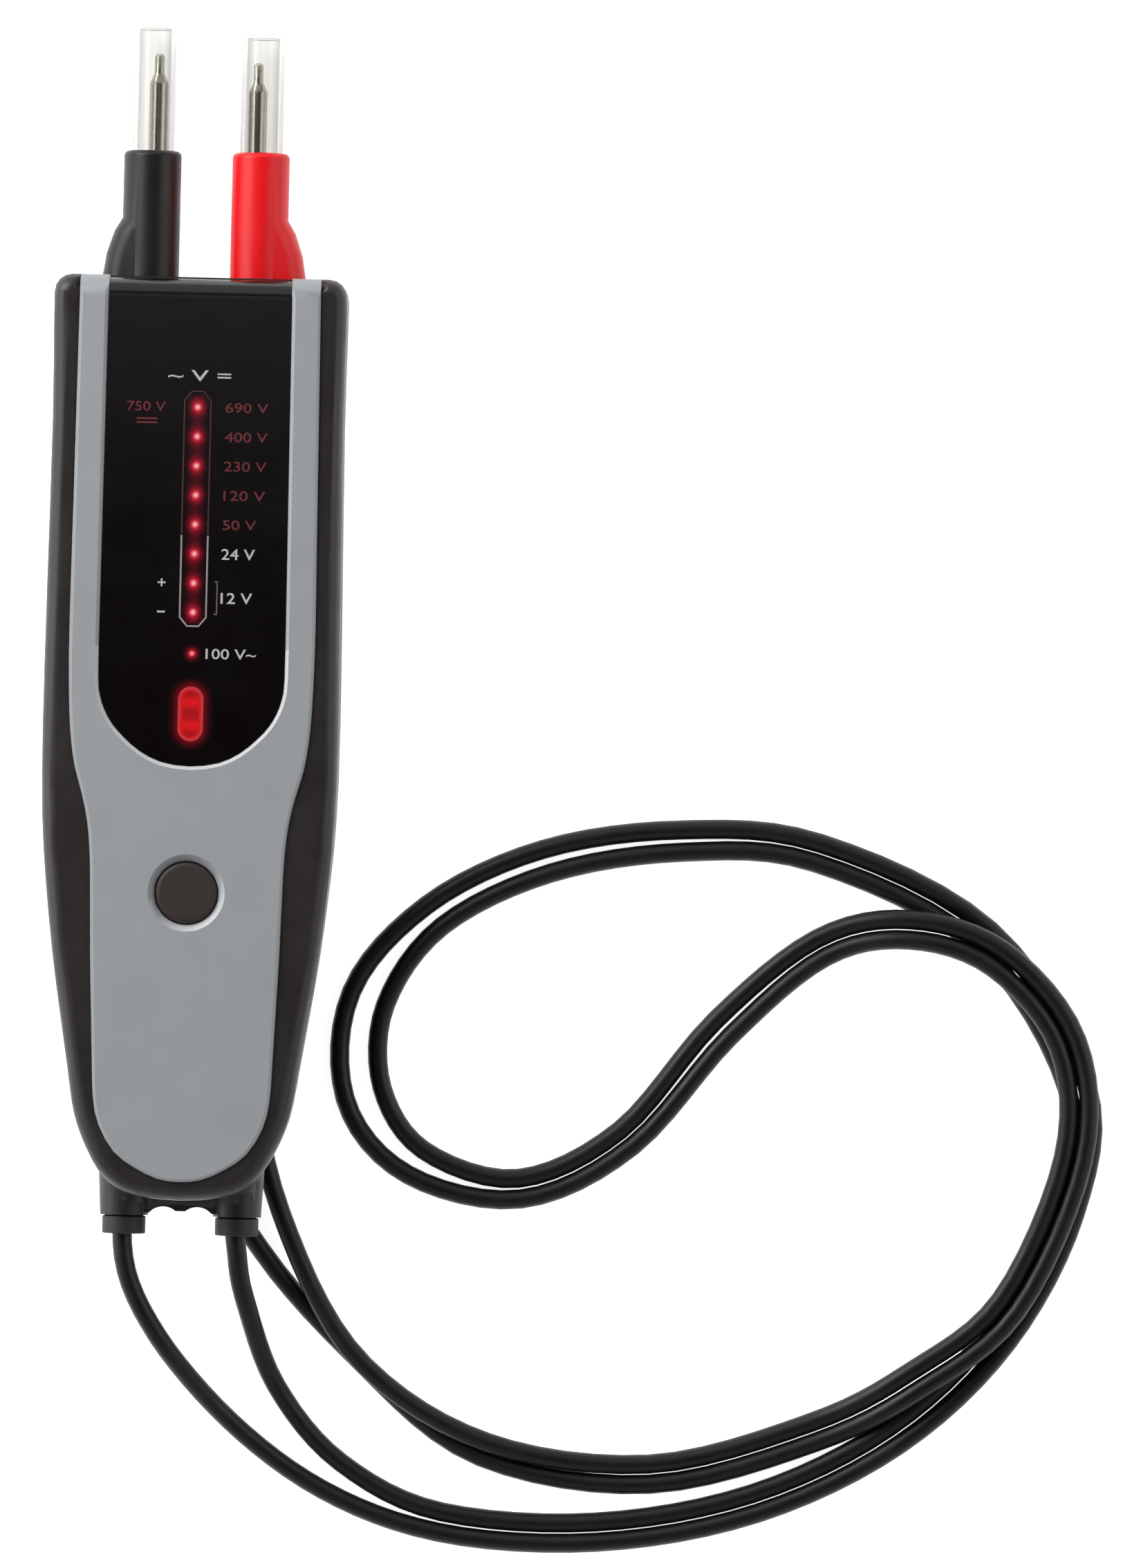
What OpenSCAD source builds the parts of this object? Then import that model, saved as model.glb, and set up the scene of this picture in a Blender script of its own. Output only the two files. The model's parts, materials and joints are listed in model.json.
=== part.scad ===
// Two-pole voltage tester, lying on its back with both probes docked in the back of the case.
// X runs across the case, Y along it towards the probe tips, Z up out of the front face.
// The origin is on the surface it lies on, under the middle of the whole length.

/* [Case] */
// Length of the case from its top end to the middle of its bottom end
case_len = 176.2; // [165:0.2:205]
// Greatest width of the case
case_w = 56.4; // [54:0.2:66]
// Thickness of the case walls
wall = 2.4; // [1.8:0.1:2.8]
// Rounding of the front edge all round the case
front_edge_r = 3; // [2:0.1:3.1]
// Rounding of the back edge all round the case
back_edge_r = 3; // [2:0.1:3.1]
// Rounding of the two top corners, seen from the front
corner_r = 3.4; // [3.4:0.1:5]

/* [Front cover and lens] */
// Length of the grey cover from the top end down
cover_len = 172.6; // [160:0.2:174]
// Greatest width of the grey cover
cover_w = 46.8; // [44:0.2:50]
// Thickness of the grey cover
cover_t = 2.2; // [1.8:0.1:2.8]
// Height of the grey cover above the dark rim
cover_rise = 0.8; // [0.4:0.1:1.2]
// Length of the smoked lens from the top end down
lens_len = 93.3; // [88:0.1:97]
// Greatest width of the smoked lens
lens_w = 35.2; // [32:0.1:37]
// Thickness of the smoked lens
lens_t = 1.6; // [1.2:0.1:2]
// Radius with which cover and lens roll over the top end
roll_r = 4.2; // [3:0.1:5]
// How far cover and lens reach down the top end, below the front
roll_drop = 9; // [7:0.5:11]
// Width of the chamfer that the cover has round the lens
lens_rim = 0.7; // [0.4:0.1:1]

/* [Indicators] */
// Number of lights in the column
led_count = 8; // [5:1:9]
// Distance between the lights of the column
led_pitch = 5.58; // [5:0.02:5.8]
// Distance from the top end to the first light
led_first = 25; // [23:0.5:27]
// Distance from the top end to the single light under the column
led_single = 71.9; // [70:0.1:73]
// Radius of a light
led_r = 1.5; // [1.2:0.1:1.8]
// Width of the pill-shaped warning lamp
lamp_w = 5.5; // [4:0.1:6.5]
// Length of the pill-shaped warning lamp
lamp_len = 11.1; // [9:0.1:12]
// Distance from the top end to the middle of the warning lamp
lamp_at = 83.4; // [82:0.1:84]

/* [Test button] */
// Distance from the top end to the middle of the button
button_at = 117.5; // [112:0.5:122]
// Radius of the button
button_r = 5.9; // [5:0.1:7]
// How far the button travels
button_travel = 0.8; // [0.5:0.1:1]
// Width of the chamfer round the button
button_rim = 1.25; // [0.8:0.05:1.6]

/* [Probes] */
// Distance between the axes of the two docked probes
probe_spacing = 20.8; // [20.4:0.1:22]
// Distance between the two metal tips, as in a socket
tip_spacing = 19; // [18.8:0.1:20.4]
// Radius of the handle behind the case
handle_r = 6; // [5.6:0.1:6.2]
// Radius of the barrel above the case
barrel_r = 5.5; // [5.4:0.05:6]
// How far the barrel stands above the top end of the case
barrel_rise = 24.6; // [23:0.1:30]
// Length of the handle behind the case
handle_len = 68; // [60:1:70]
// Reach of the finger guard from the axis
guard_reach = 9.2; // [8:0.1:10]
// Height at which the finger guard starts
guard_rise = 12.2; // [8:0.1:13]
// Radius of the metal tip
tip_r = 1.8; // [1.7:0.1:2.1]
// How far the thick part of the tip stands out of the barrel
tip_out = 13; // [11:0.5:15]
// Radius of the thin end of the tip
point_r = 0.95; // [0.7:0.05:1.2]
// Length of the thin end of the tip
point_len = 3.7; // [3:0.1:4.5]
// Outer radius of the clear sleeve
sleeve_r = 4.1; // [4:0.05:4.3]
// Wall of the clear sleeve
sleeve_wall = 1; // [0.8:0.05:1.1]
// How far the clear sleeve stands out of the barrel
sleeve_out = 23.5; // [22:0.5:26]
// How much less the red probe's tip and sleeve stand out than the black one's
red_tip_short = 1.4; // [0:0.1:2.5]
// How far the clear sleeve slides into the barrel
sleeve_travel = 19; // [16:0.5:20]
// How far a probe slides out of its dock before it is free
dock_travel = 24; // [20:1:26]

/* [Leads] */
// Diameter of the two leads
lead_d = 3.8; // [3:0.1:4]
// Distance between the two lead bosses at the bottom end
boss_spacing = 21.6; // [20:0.2:23]
// Radius of a lead boss inside the case
boss_r = 5.3; // [5:0.1:5.8]
// Radius of a lead boss at its end
boss_end_r = 4.6; // [4.5:0.1:5]
// Radius of the flange at the end of a lead boot
boot_flange_r = 4.15; // [4:0.05:4.6]
// Length of the flange at the end of a lead boot
boot_flange_len = 3.4; // [2:0.1:4]

/* [Battery and board] */
// Radius of a battery cell
cell_r = 5.25; // [5.1:0.05:5.5]
// Length of a battery cell
cell_len = 44.5; // [42:0.5:45.5]
// Depth of the trough in the back in which the probe leads run
trough_depth = 5; // [4.6:0.1:5.4]
// Thickness of the circuit board
board_t = 1.6; // [1:0.1:2]
// Room above the board for lights and switch
parts_room = 6.6; // [6.2:0.1:8]

/* [Hidden] */

$fn = 48;
// Overrun of every cut past the face it opens
cut = 1;
// Gap between pieces that are laid into each other
lay_gap = 0.1;
// Gap between pieces that slide on each other
slide_gap = 0.3;
edge_steps = 4;
arc_steps = 6;
hull_fn = 32;

// Outlines: each row is a share of half the width and a share of the length, from top to bottom
case_outline_shares = [
    [0.989, 0.045], [0.982, 0.159], [0.993, 0.341], [1, 0.488], [0.989, 0.585], [0.957, 0.653],
    [0.901, 0.732], [0.837, 0.8], [0.78, 0.857], [0.741, 0.897], [0.699, 0.922], [0.635, 0.946],
    [0.553, 0.969], [0.44, 0.986], [0.284, 0.996], [0, 1]
];
cover_outline_shares = [
    [0.979, 0], [0.985, 0.1], [0.996, 0.21], [1, 0.33], [1, 0.42], [0.987, 0.48],
    [0.966, 0.515], [0.93, 0.545], [0.868, 0.574], [0.821, 0.603], [0.797, 0.632],
    [0.785, 0.666], [0.769, 0.753], [0.75, 0.817], [0.733, 0.875], [0.718, 0.91],
    [0.668, 0.939], [0.541, 0.968], [0.372, 0.985], [0.18, 0.997], [0, 1]
];
lens_outline_shares = [
    [0.983, 0], [0.989, 0.25], [0.994, 0.49], [1, 0.68], [1, 0.82], [0.977, 0.86],
    [0.923, 0.89], [0.841, 0.917], [0.716, 0.943], [0.54, 0.971], [0.31, 0.992], [0, 1]
];

// Heights above the surface that the tester lies on
handle_lift = 0.5;
dock_gap = 0.4;
dock_roof = 1.6;
probe_z = handle_r + handle_lift;
dock_r = max(handle_r, barrel_r) + dock_gap;
dock_top_z = probe_z + dock_r + dock_roof;
seam_rise = 0.5;
split_z = dock_top_z + seam_rise;
trough_roof = 2;
bay_floor_z = trough_depth + trough_roof;
cell_gap = 0.15;
cell_room = 1.35;
board_gap = 3;
board_z = max(bay_floor_z + cell_gap + 2 * cell_r + cell_room, split_z + board_gap);
board_top_z = board_z + board_t;
plate_low_z = board_top_z + parts_room;
plate_t = 1.6;
pocket_z = plate_low_z + plate_t;
cover_top_z = pocket_z + cover_t;
rim_z = cover_top_z - cover_rise;
lens_sink = 0.5;
lens_top_z = cover_top_z - lens_sink;
lens_low_z = lens_top_z - lens_t;
roll_low_z = cover_top_z - roll_drop;

// Places along the case, measured down from its top end
dock_len = 104;
trough_start = 100;
trough_w = 31;
trough_flare_start = 150;
trough_flare_end = 161;
boss_end = case_len + 3.2;
boot_step = 0.2;
boot_end = boss_end + boot_step + boot_flange_len;

// The whole length runs from the ends of the lead boots to the ends of the clear sleeves
sleeve_rise = barrel_rise + sleeve_out;
case_top_y = (boot_end - sleeve_rise) / 2;

// Case screws
screw_r = 1.45;
screw_play = 0.15;
screw_head_r = 2.7;
screw_head_t = 2.5;
screw_sink = 0.5;
screw_post_r = 3.2;
screw_bite = 7;
pilot_gap = 0.05;
ridge_screws = [13, 94];
side_screw_at = 140;
side_screw_x = 19.2;
screw_places = [
    [0, -ridge_screws[0]], [0, -ridge_screws[1]],
    [-side_screw_x, -side_screw_at], [side_screw_x, -side_screw_at]
];

// Battery bay
bay_wall = 1.8;
bay_start = 107.2;
contact_t = 1.4;
contact_plate_t = 0.4;
bay_half_w = 2 * cell_r + 0.7;
bay_end = bay_start + cell_len + 2 * contact_t;
door_gap = 0.25;
door_t = 1.8;
door_ledge = 1.1;
door_start = bay_start - 0.8;
door_end = bay_end + 6.7;
door_boss_h = 6;
door_boss_half_w = 4;
door_screw_at = bay_end + 3.2;
door_head_t = 1;
door_head_r = 2.6;
door_screw_r = 1.2;
door_screw_len = 6;
door_lip_half_w = 3;
door_lip_len = 1.5;
door_lip_t = 1.15;
cell_spread = cell_r + 0.25;
cell_nub_r = 1.9;
cell_nub_len = 1;

// Circuit board
board_half_w = 21;
board_low_half_w = 13.5;
board_start = 6;
board_step = 100;
board_end = 162;
board_play = 0.4;
standoff_r = 2.4;
standoff_x = 16.5;
standoffs = [9, 86];
board_screw_r = 0.9;
board_screw_len = 3.4;
board_head_r = 1.9;
board_head_t = 1.1;

// Lights
led_h = 5.4;
mask_half_w = 3.6;
mask_margin = 3.4;
led_gap = 0.2;
led_places = concat([for (i = [0:led_count - 1]) led_first + i * led_pitch], [led_single]);
lamp_led_spread = 2.6;
lamp_base_z = board_top_z + led_h + 0.4;
lamp_flange = 0.7;
lamp_flange_t = 0.9;

// Test button and switch
button_play = 0.2;
button_sink = 0.2;
button_edge_r = 1;
button_flange = 1.2;
button_flange_t = 0.8;
button_stem_r = 2.2;
switch_w = 6.2;
switch_h = 3.5;
plunger_r = 1.75;
plunger_gap = 0.1;
plunger_rise = 1;
plunger_len = 2.3;
switch_floor = 1.2;

// Probe insides
chamber_r = 4.7;
chamber_low = -6;
mouth_len = 4;
mouth_gap = 0.1;
flange_r = 4.6;
flange_t = 1.2;
tip_low = -30;
tip_fit = 0.02;
cone_len = 2;
barrel_edge_r = 1;
guard_foot = 0.03;
// The guard's profile: share of its rise and share of its way out from the barrel
guard_shares = [[1, 0], [0.754, 0.45], [0.4, 0.81], [0, 1]];
// How far inside the barrel's surface the guard starts
guard_tuck = 0.3;
guard_thin_share = 0.2;
grip_count = 6;
grip_pitch = 8;
grip_w = 3;
grip_depth = 0.5;
spring_wire_r = 0.3;
spring_r = 4;
spring_turns = 8;
spring_steps = 12;
spring_sides = 6;
spring_gap = 0.02;
core_r = 0.8;
core_gap = 0.2;
lead_bore_r = lead_d / 2 + 0.35;
boot_insert_r = 3.5;
boot_insert_len = 6;
boot_len = 20;
boot_wide_r = 4.6;
boot_thin_r = 3.1;
boot_rib_count = 5;
boot_rib_depth = 0.5;
tip_offset = (probe_spacing - tip_spacing) / 2;

// Lead boots in the case
boot_body_r = 3.6;
boot_gap = 0.1;
boot_inner_r = 4.8;
boot_inner_t = 1.6;
end_share = 0.85;

// Gasket in the joint of the shells
gasket_inset = 0.75;
gasket_w = 0.9;
gasket_h = 1;

// Route of the pair of leads: x, y, height and half the distance between the two, and where they cross
// how far the red lead is lifted over the black one.
// It starts in the two lead bosses and ends in the tails of the two probes.
pair_route = [
    [0, -96, 15, 10.8], [0, -107, 15, 10.8], [0, -118.5, 15, 10.8], [4.3, -131.2, 12.9, 9.1],
    [14.5, -147.9, 4.4, 5.6], [29.9, -161.7, 1.9, 3.15], [51, -170.1, 1.9, 2],
    [81.1, -171.3, 1.9, 1.95], [111.3, -165.1, 1.9, 1.95], [137.8, -151.5, 1.9, 1.95],
    [157.6, -131.9, 1.9, 1.95], [169.8, -107.3, 1.9, 1.95], [171.4, -83.3, 1.9, 1.95],
    [152.8, -55.2, 1.9, 1.95], [120.6, -39.7, 1.9, 1.95], [94.5, -38, 1.9, 2.15],
    [68.5, -42.5, 1.9, 2.4], [47.1, -53.5, 1.9, 2.5], [34.8, -69.7, 1.9, 3.5], [34.3, -87.9, 1.9, 3.7],
    [44.6, -101, 1.9, 2.8], [64.8, -105.6, 1.9, 2], [85, -95.4, 1.9, 1.95], [103, -73.9, 1.9, 2.1],
    [121.6, -57.9, 2.2, 1.95], [138.5, -54, 5.4, 1.95], [155.6, -59.2, 6, 1.95],
    [169.3, -75.2, 6, 1.95], [170.9, -97.3, 6, 1.95], [159.2, -125.7, 6, 1.95],
    [141.3, -140.7, 6, 1.95], [122.1, -151.2, 1.9, 1.95], [91, -159.9, 1.9, 1.95, 0.3],
    [59.1, -155.9, 1.9, 1.6, 2.5], [35.7, -140.2, 1.9, 0.1, 4.3], [18, -117, 1.9, 3.1, 1.8],
    [6, -88, 1.9, 7.2], [0, -40, 1.9, 10.4], [0, -24, 6.5, 10.4], [0, 2, 6.5, 10.4]
];
lead_sides = 8;
lead_steps = 2;

// A point between b and c on a smooth curve through a, b, c and d
function curve(a, b, c, d, t) =
    0.5 * (2 * b + (c - a) * t + (2 * a - 5 * b + 4 * c - d) * t * t
        + (3 * b - a - 3 * c + d) * t * t * t);
// The same for heights and distances, without running over b or c
function slope(a, b, c) = (b - a) * (c - b) > 0 ? 2 * (b - a) * (c - b) / (c - a) : 0;
function glide(a, b, c, d, t) =
    b + (c - b) * t * t * (3 - 2 * t)
        + slope(a, b, c) * t * (1 - t) * (1 - t) - slope(b, c, d) * t * t * (1 - t);
function unit(v) = v / norm(v);
function at(list, i) = list[min(max(i, 0), len(list) - 1)];

// Smooth curve through the rows of a list, whose first and last rows only give the direction
function smooth(p, steps) = concat(
    [for (i = [1:len(p) - 3]) for (k = [0:steps - 1]) curve(p[i - 1], p[i], p[i + 1], p[i + 2], k / steps)],
    [p[len(p) - 2]]);

// Right half of an outline, from the top end down to the middle of the bottom
function half_rows(shares, w, l) = [for (s = shares) [s[0] * w / 2, -s[1] * l]];
function mirrored(p) = [-p[0], p[1]];
function half_outline(rows, start, steps) =
    smooth(concat([start], rows, [mirrored(rows[len(rows) - 2])]), steps);
// The whole outline, anticlockwise from the middle of the bottom
function whole(half) = concat(
    [for (i = [len(half) - 1:-1:0]) half[i]],
    [for (i = [0:len(half) - 2]) mirrored(half[i])]);

// Direction straight out of an outline at one of its points
function outward(p, i) =
    let (n = len(p), t = unit(p[(i + 1) % n] - p[(i + n - 1) % n])) [t[1], -t[0]];
function inset(p, d) = [for (i = [0:len(p) - 1]) p[i] - d * outward(p, i)];
function ring(p, d, z) = [for (q = inset(p, d)) [q[0], q[1], z]];

case_top_half_w = case_outline_shares[0][0] * case_w / 2;
case_corner = [for (i = [0:edge_steps - 1])
    [case_top_half_w - corner_r + corner_r * sin(90 * i / edge_steps),
     corner_r * cos(90 * i / edge_steps) - corner_r]];
case_rows = concat([[case_top_half_w, -corner_r]], half_rows(case_outline_shares, case_w, case_len));
case_ring = whole(concat(case_corner, half_outline(case_rows, [case_top_half_w, 0], 2)));

// The lead boots' inner flanges stand on the shell's inner wall
inner_end = [for (q = inset(case_ring, wall)) if (q[0] > 0 && q[1] < -case_len * end_share) q];
boss_start = -lookup(boss_spacing / 2 + boot_inner_r, inner_end);

// The cover and the lens run past the top end, where their rolled profile ends them
cover_rows = half_rows(cover_outline_shares, cover_w, cover_len);
cover_ring = whole(half_outline(concat([[cover_rows[0][0], cut]], cover_rows),
    [cover_rows[0][0], 2 * cut], 2));
lens_rows = half_rows(lens_outline_shares, lens_w, lens_len);
lens_ring = whole(half_outline(concat([[lens_rows[0][0], cut]], lens_rows), [lens_rows[0][0], 2 * cut], 2));

// Solid through rings with equally many points, from the lowest ring up
module loft(rings) {
    n = len(rings[0]);
    top = (len(rings) - 1) * n;
    sides = [for (k = [0:len(rings) - 2]) for (i = [0:n - 1])
        let (a = k * n + i, b = k * n + (i + 1) % n) each [[a, a + n, b + n], [a, b + n, b]]];
    caps = [[for (i = [0:n - 1]) i], [for (i = [n - 1:-1:0]) top + i]];
    polyhedron([for (r = rings) each r], concat(sides, caps));
}

// Slab with an outline, whose lower or upper edge is rounded. Its rings run on past both faces
// and the flat faces are cut afterwards.
function edge_steps_in(r, steps) = [for (i = [0:steps]) let (a = 90 * i / steps)
    [r * (1 - cos(a)), r * (1 - sin(a))]];
edge_overrun = 0.25;
function run_on(a, b) = b + (b - a) * edge_overrun;
module rounded_slab(outline, low, high, low_r, high_r, steps) {
    lower = [for (p = edge_steps_in(low_r, steps)) [p[0], low + p[1]]];
    upper = [for (p = edge_steps_in(high_r, steps)) [p[0], high - p[1]]];
    below = low_r > 0 ? [run_on(lower[steps - 1], lower[steps])] : [];
    above = high_r > 0 ? [run_on(upper[steps - 1], upper[steps])] : [];
    start = low_r > 0 ? concat(below, [for (i = [steps - 1:-1:0]) lower[i]]) : [[0, low - cut]];
    end = high_r > 0 ? concat([for (i = [0:steps - 1]) upper[i]], above) : [[0, high + cut]];
    intersection() {
        loft([for (p = concat(start, end)) ring(outline, p[0], p[1])]);
        block([-case_w, -2 * case_len, low], [case_w, case_w, high]);
    }
}

// Prism with a two-step bevel at its upper edge, run on past the surface that cuts it off
bevel_in = 0.3;
module bevelled_prism(outline, low, high, edge) {
    loft([ring(outline, 0, low), ring(outline, 0, high - edge),
        ring(outline, edge * bevel_in, high - edge * bevel_in),
        ring(outline, 2 * edge, high + edge * bevel_in / (1 - bevel_in))]);
}

module prism(outline, low, high) {
    translate([0, 0, low]) linear_extrude(high - low) polygon(outline);
}

// Box given by its lower and upper corners
module block(low, high) {
    translate(low) cube(high - low);
}

module rod_y(r, low, high) {
    translate([0, low, 0]) rotate([-90, 0, 0]) cylinder(r = r, h = high - low);
}

module rod_z(r, low, high) {
    translate([0, 0, low]) cylinder(r = r, h = high - low);
}

module pill(w, l, low, high) {
    for (s = [-1, 1]) translate([0, s * (l - w) / 2, 0]) rod_z(w / 2, low, high);
    block([-w / 2, -(l - w) / 2, low], [w / 2, (l - w) / 2, high]);
}

module in_case() {
    translate([0, case_top_y, 0]) children();
}

module at_screws() {
    for (p = screw_places) translate([p[0], p[1], 0]) children();
}

module at_standoffs() {
    for (x = [-standoff_x, standoff_x], y = standoffs) translate([x, -y, 0]) children();
}

module at_bosses() {
    for (s = [-1, 1]) translate([s * boss_spacing / 2, 0, split_z]) children();
}

// Path over the front and down the top end, a distance inside the outer surface
function roll_path(d) = concat(
    [[-case_len - cut, cover_top_z - d]],
    [for (i = [0:arc_steps]) let (a = 90 * i / arc_steps)
        [-roll_r + (roll_r - d) * sin(a), cover_top_z - roll_r + (roll_r - d) * cos(a)]],
    [[-d, roll_low_z]]);
function backwards(p) = [for (i = [len(p) - 1:-1:0]) p[i]];

module across(points) {
    translate([-case_w, 0, 0]) rotate([90, 0, 90]) linear_extrude(2 * case_w) polygon(points);
}

// The skin between two depths below the rolled outer surface
module rolled_skin(outer, inner) {
    across(concat(roll_path(outer), backwards(roll_path(inner))));
}

// All that lies outside a depth below the rolled outer surface
module outside_roll(depth) {
    across(concat(roll_path(depth), [[cut, roll_low_z], [cut, cover_top_z + cut],
        [-case_len - cut, cover_top_z + cut]]));
}

// Inside of the shells, as wide as the walls leave
module cavity(low, high) {
    intersection() {
        prism(inset(case_ring, wall), low, high);
        block([-case_w, -2 * case_len, low - cut], [case_w, -wall - cover_t, high + cut]);
    }
}

// Tubes that hold the lead boots, and the scalloped web between them
scallop_r = 3.6;
scallop_x = 3.25;
scallop_top = boss_end - 1.75;
web_half_t = 2.5;
web_bump_half_w = 1.2;
web_bump_end = boss_end - 0.9;
module boss_half(low, high) {
    intersection() {
        union() {
            at_bosses() rotate([90, 0, 0]) translate([0, 0, boss_start])
                cylinder(r1 = boss_r, r2 = boss_end_r, h = boss_end - boss_start);
            difference() {
                block([-boss_spacing / 2, -boss_end + cut / 2, split_z - web_half_t],
                    [boss_spacing / 2, -case_len + wall, split_z + web_half_t]);
                for (s = [-1, 1]) translate([s * scallop_x, -scallop_top - scallop_r, 0])
                    rod_z(scallop_r, split_z - boss_r, split_z + boss_r);
                block([-web_bump_half_w, -boss_end - cut, split_z - boss_r],
                    [web_bump_half_w, -web_bump_end, split_z + boss_r]);
            }
        }
        block([-case_w, -2 * case_len, low], [case_w, 0, high]);
    }
}

module front_shell() {
    lights_end = led_single + mask_margin + lay_gap;
    lights_start = led_first - mask_margin - lay_gap;
    color("#2a2626") in_case() difference() {
        union() {
            difference() {
                rounded_slab(case_ring, split_z, rim_z, 0, front_edge_r, edge_steps);
                cavity(split_z - cut, plate_low_z);
            }
            at_screws() rod_z(screw_post_r, split_z, plate_low_z + plate_t / 2);
            boss_half(split_z, split_z + boss_r + cut);
        }
        intersection() {
            prism(inset(cover_ring, -lay_gap), roll_low_z - lay_gap, cover_top_z + cut);
            outside_roll(cover_t);
        }
        translate([0, -(lights_start + lights_end) / 2, 0]) pill(2 * mask_half_w + 2 * lay_gap,
            lights_end - lights_start, plate_low_z - cut, pocket_z + cut);
        translate([0, -lamp_at, 0]) pill(lamp_w + 2 * lay_gap, lamp_len + 2 * lay_gap,
            plate_low_z - cut, pocket_z + cut);
        translate([0, -button_at, 0]) rod_z(button_r + button_play, plate_low_z - cut, rim_z + cut);
        at_screws() rod_z(screw_r + pilot_gap, split_z - cut, split_z + screw_bite + cut);
        at_bosses() rod_y(boot_body_r + boot_gap, -boss_end - cut, -boss_start + cut);
    }
}

module dock_channels() {
    for (s = [-1, 1]) translate([s * probe_spacing / 2, 0, 0]) {
        translate([0, 0, probe_z]) rod_y(dock_r, -dock_len, cut);
        block([-dock_mouth / 2, -dock_len, -cut], [dock_mouth / 2, cut, probe_z]);
    }
}
dock_mouth = handle_r * 5 / 3;

module battery_bay_walls() {
    difference() {
        block([-bay_half_w - bay_wall, -bay_end - bay_wall, bay_floor_z - cut],
            [bay_half_w + bay_wall, -bay_start + bay_wall, board_z]);
        block([-bay_half_w, -bay_end, trough_depth - 2 * cut], [bay_half_w, -bay_start, board_z + cut]);
    }
    block([-door_boss_half_w, -door_end - bay_wall, bay_floor_z - cut],
        [door_boss_half_w, -bay_end, bay_floor_z + door_boss_h]);
}

module trough() {
    wide = case_w / 2;
    prism([[-trough_w / 2, -trough_start], [-trough_w / 2, -trough_flare_start],
        [-wide, -trough_flare_end], [-wide, -2 * case_len], [wide, -2 * case_len],
        [wide, -trough_flare_end], [trough_w / 2, -trough_flare_start],
        [trough_w / 2, -trough_start]], -cut, trough_depth);
}

module rear_case() {
    dock_wall_x = probe_spacing / 2 + dock_r + dock_roof;
    pocket_floor_z = wall;
    color("#262324") in_case() difference() {
        union() {
            difference() {
                rounded_slab(case_ring, 0, split_z, back_edge_r, 0, edge_steps);
                cavity(dock_top_z, split_z + cut);
                intersection() {
                    cavity(pocket_floor_z, split_z + cut);
                    for (s = [-1, 1]) block([s * dock_wall_x + min(s, 0) * case_w, -dock_len, 0],
                        [s * dock_wall_x + max(s, 0) * case_w, 0, split_z + cut]);
                }
                intersection() {
                    cavity(bay_floor_z, split_z + cut);
                    block([-case_w, -2 * case_len, 0], [case_w, -bay_start + bay_wall, split_z + cut]);
                }
            }
            intersection() {
                battery_bay_walls();
                cavity(0, board_z + cut);
            }
            intersection() {
                at_screws() rod_z(screw_post_r, wall, split_z);
                prism(case_ring, 0, split_z);
            }
            at_standoffs() rod_z(standoff_r, dock_top_z - dock_roof / 2, board_z);
            boss_half(split_z - boss_r - cut, split_z);
        }
        dock_channels();
        trough();
        block([-bay_half_w - door_ledge, -door_end, trough_depth - cut],
            [bay_half_w + door_ledge, -door_start, bay_floor_z]);
        block([-bay_half_w, -bay_end, trough_depth - cut], [bay_half_w, -bay_start, bay_floor_z + cut]);
        block([-door_lip_half_w - door_gap, -bay_start - cut, bay_floor_z - cut],
            [door_lip_half_w + door_gap, -door_start + door_lip_len + door_gap,
             bay_floor_z + door_lip_t + door_gap]);
        at_screws() {
            rod_z(screw_r + screw_play, -cut, split_z + cut);
            rod_z(screw_head_r + screw_play, -cut, screw_sink + screw_head_t);
        }
        translate([0, -door_screw_at, 0]) rod_z(door_screw_r + pilot_gap, trough_depth,
            bay_floor_z + door_screw_len - door_t);
        at_standoffs() rod_z(board_screw_r + pilot_gap, board_z - board_screw_len, board_z + cut);
        at_bosses() rod_y(boot_body_r + boot_gap, -boss_end - cut, -boss_start + cut);
        prism_ring(gasket_inset - pilot_gap, gasket_w + 2 * pilot_gap, split_z - gasket_h, split_z + cut);
    }
}

// A band that follows the outline of the case
module prism_ring(start, w, low, high) {
    difference() {
        prism(inset(case_ring, start), low, high);
        prism(inset(case_ring, start + w), low - cut, high + cut);
    }
}

module case_gasket() {
    color("#4a4a4a") in_case() difference() {
        prism_ring(gasket_inset, gasket_w, split_z - gasket_h, split_z);
        at_bosses() rod_y(boot_body_r + boot_gap + gasket_w, -boss_end - cut, -boss_start + cut);
    }
}

module front_cover() {
    color("#969a9f") in_case() difference() {
        intersection() {
            bevelled_prism(cover_ring, roll_low_z - cut, cover_top_z, cover_rise * 3 / 4);
            rolled_skin(0, cover_t);
        }
        prism(inset(lens_ring, -lay_gap), roll_low_z - cut, cover_top_z + cut);
        loft([ring(lens_ring, -lay_gap, cover_top_z - lens_rim),
            ring(lens_ring, -lay_gap - lens_rim - cut, cover_top_z + cut)]);
        translate([0, -button_at, 0]) {
            rod_z(button_r + button_play, pocket_z - cut, cover_top_z + cut);
            translate([0, 0, cover_top_z - button_rim]) cylinder(r1 = button_r + button_play,
                r2 = button_r + button_play + button_rim + cut, h = button_rim + cut);
        }
    }
}

module display_lens() {
    color("#0c0b0c") in_case() difference() {
        intersection() {
            prism(lens_ring, roll_low_z, cover_top_z);
            rolled_skin(lens_sink, lens_sink + lens_t);
        }
        translate([0, -lamp_at, 0]) pill(lamp_w + 2 * lay_gap, lamp_len + 2 * lay_gap,
            pocket_z - cut, cover_top_z + cut);
    }
}

module lamp_lens() {
    color("#b00a10") in_case() translate([0, -lamp_at, 0]) {
        pill(lamp_w, lamp_len, lamp_base_z, lens_top_z);
        pill(lamp_w + 2 * lamp_flange, lamp_len + 2 * lamp_flange,
            plate_low_z - lamp_flange_t, plate_low_z);
    }
}

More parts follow.
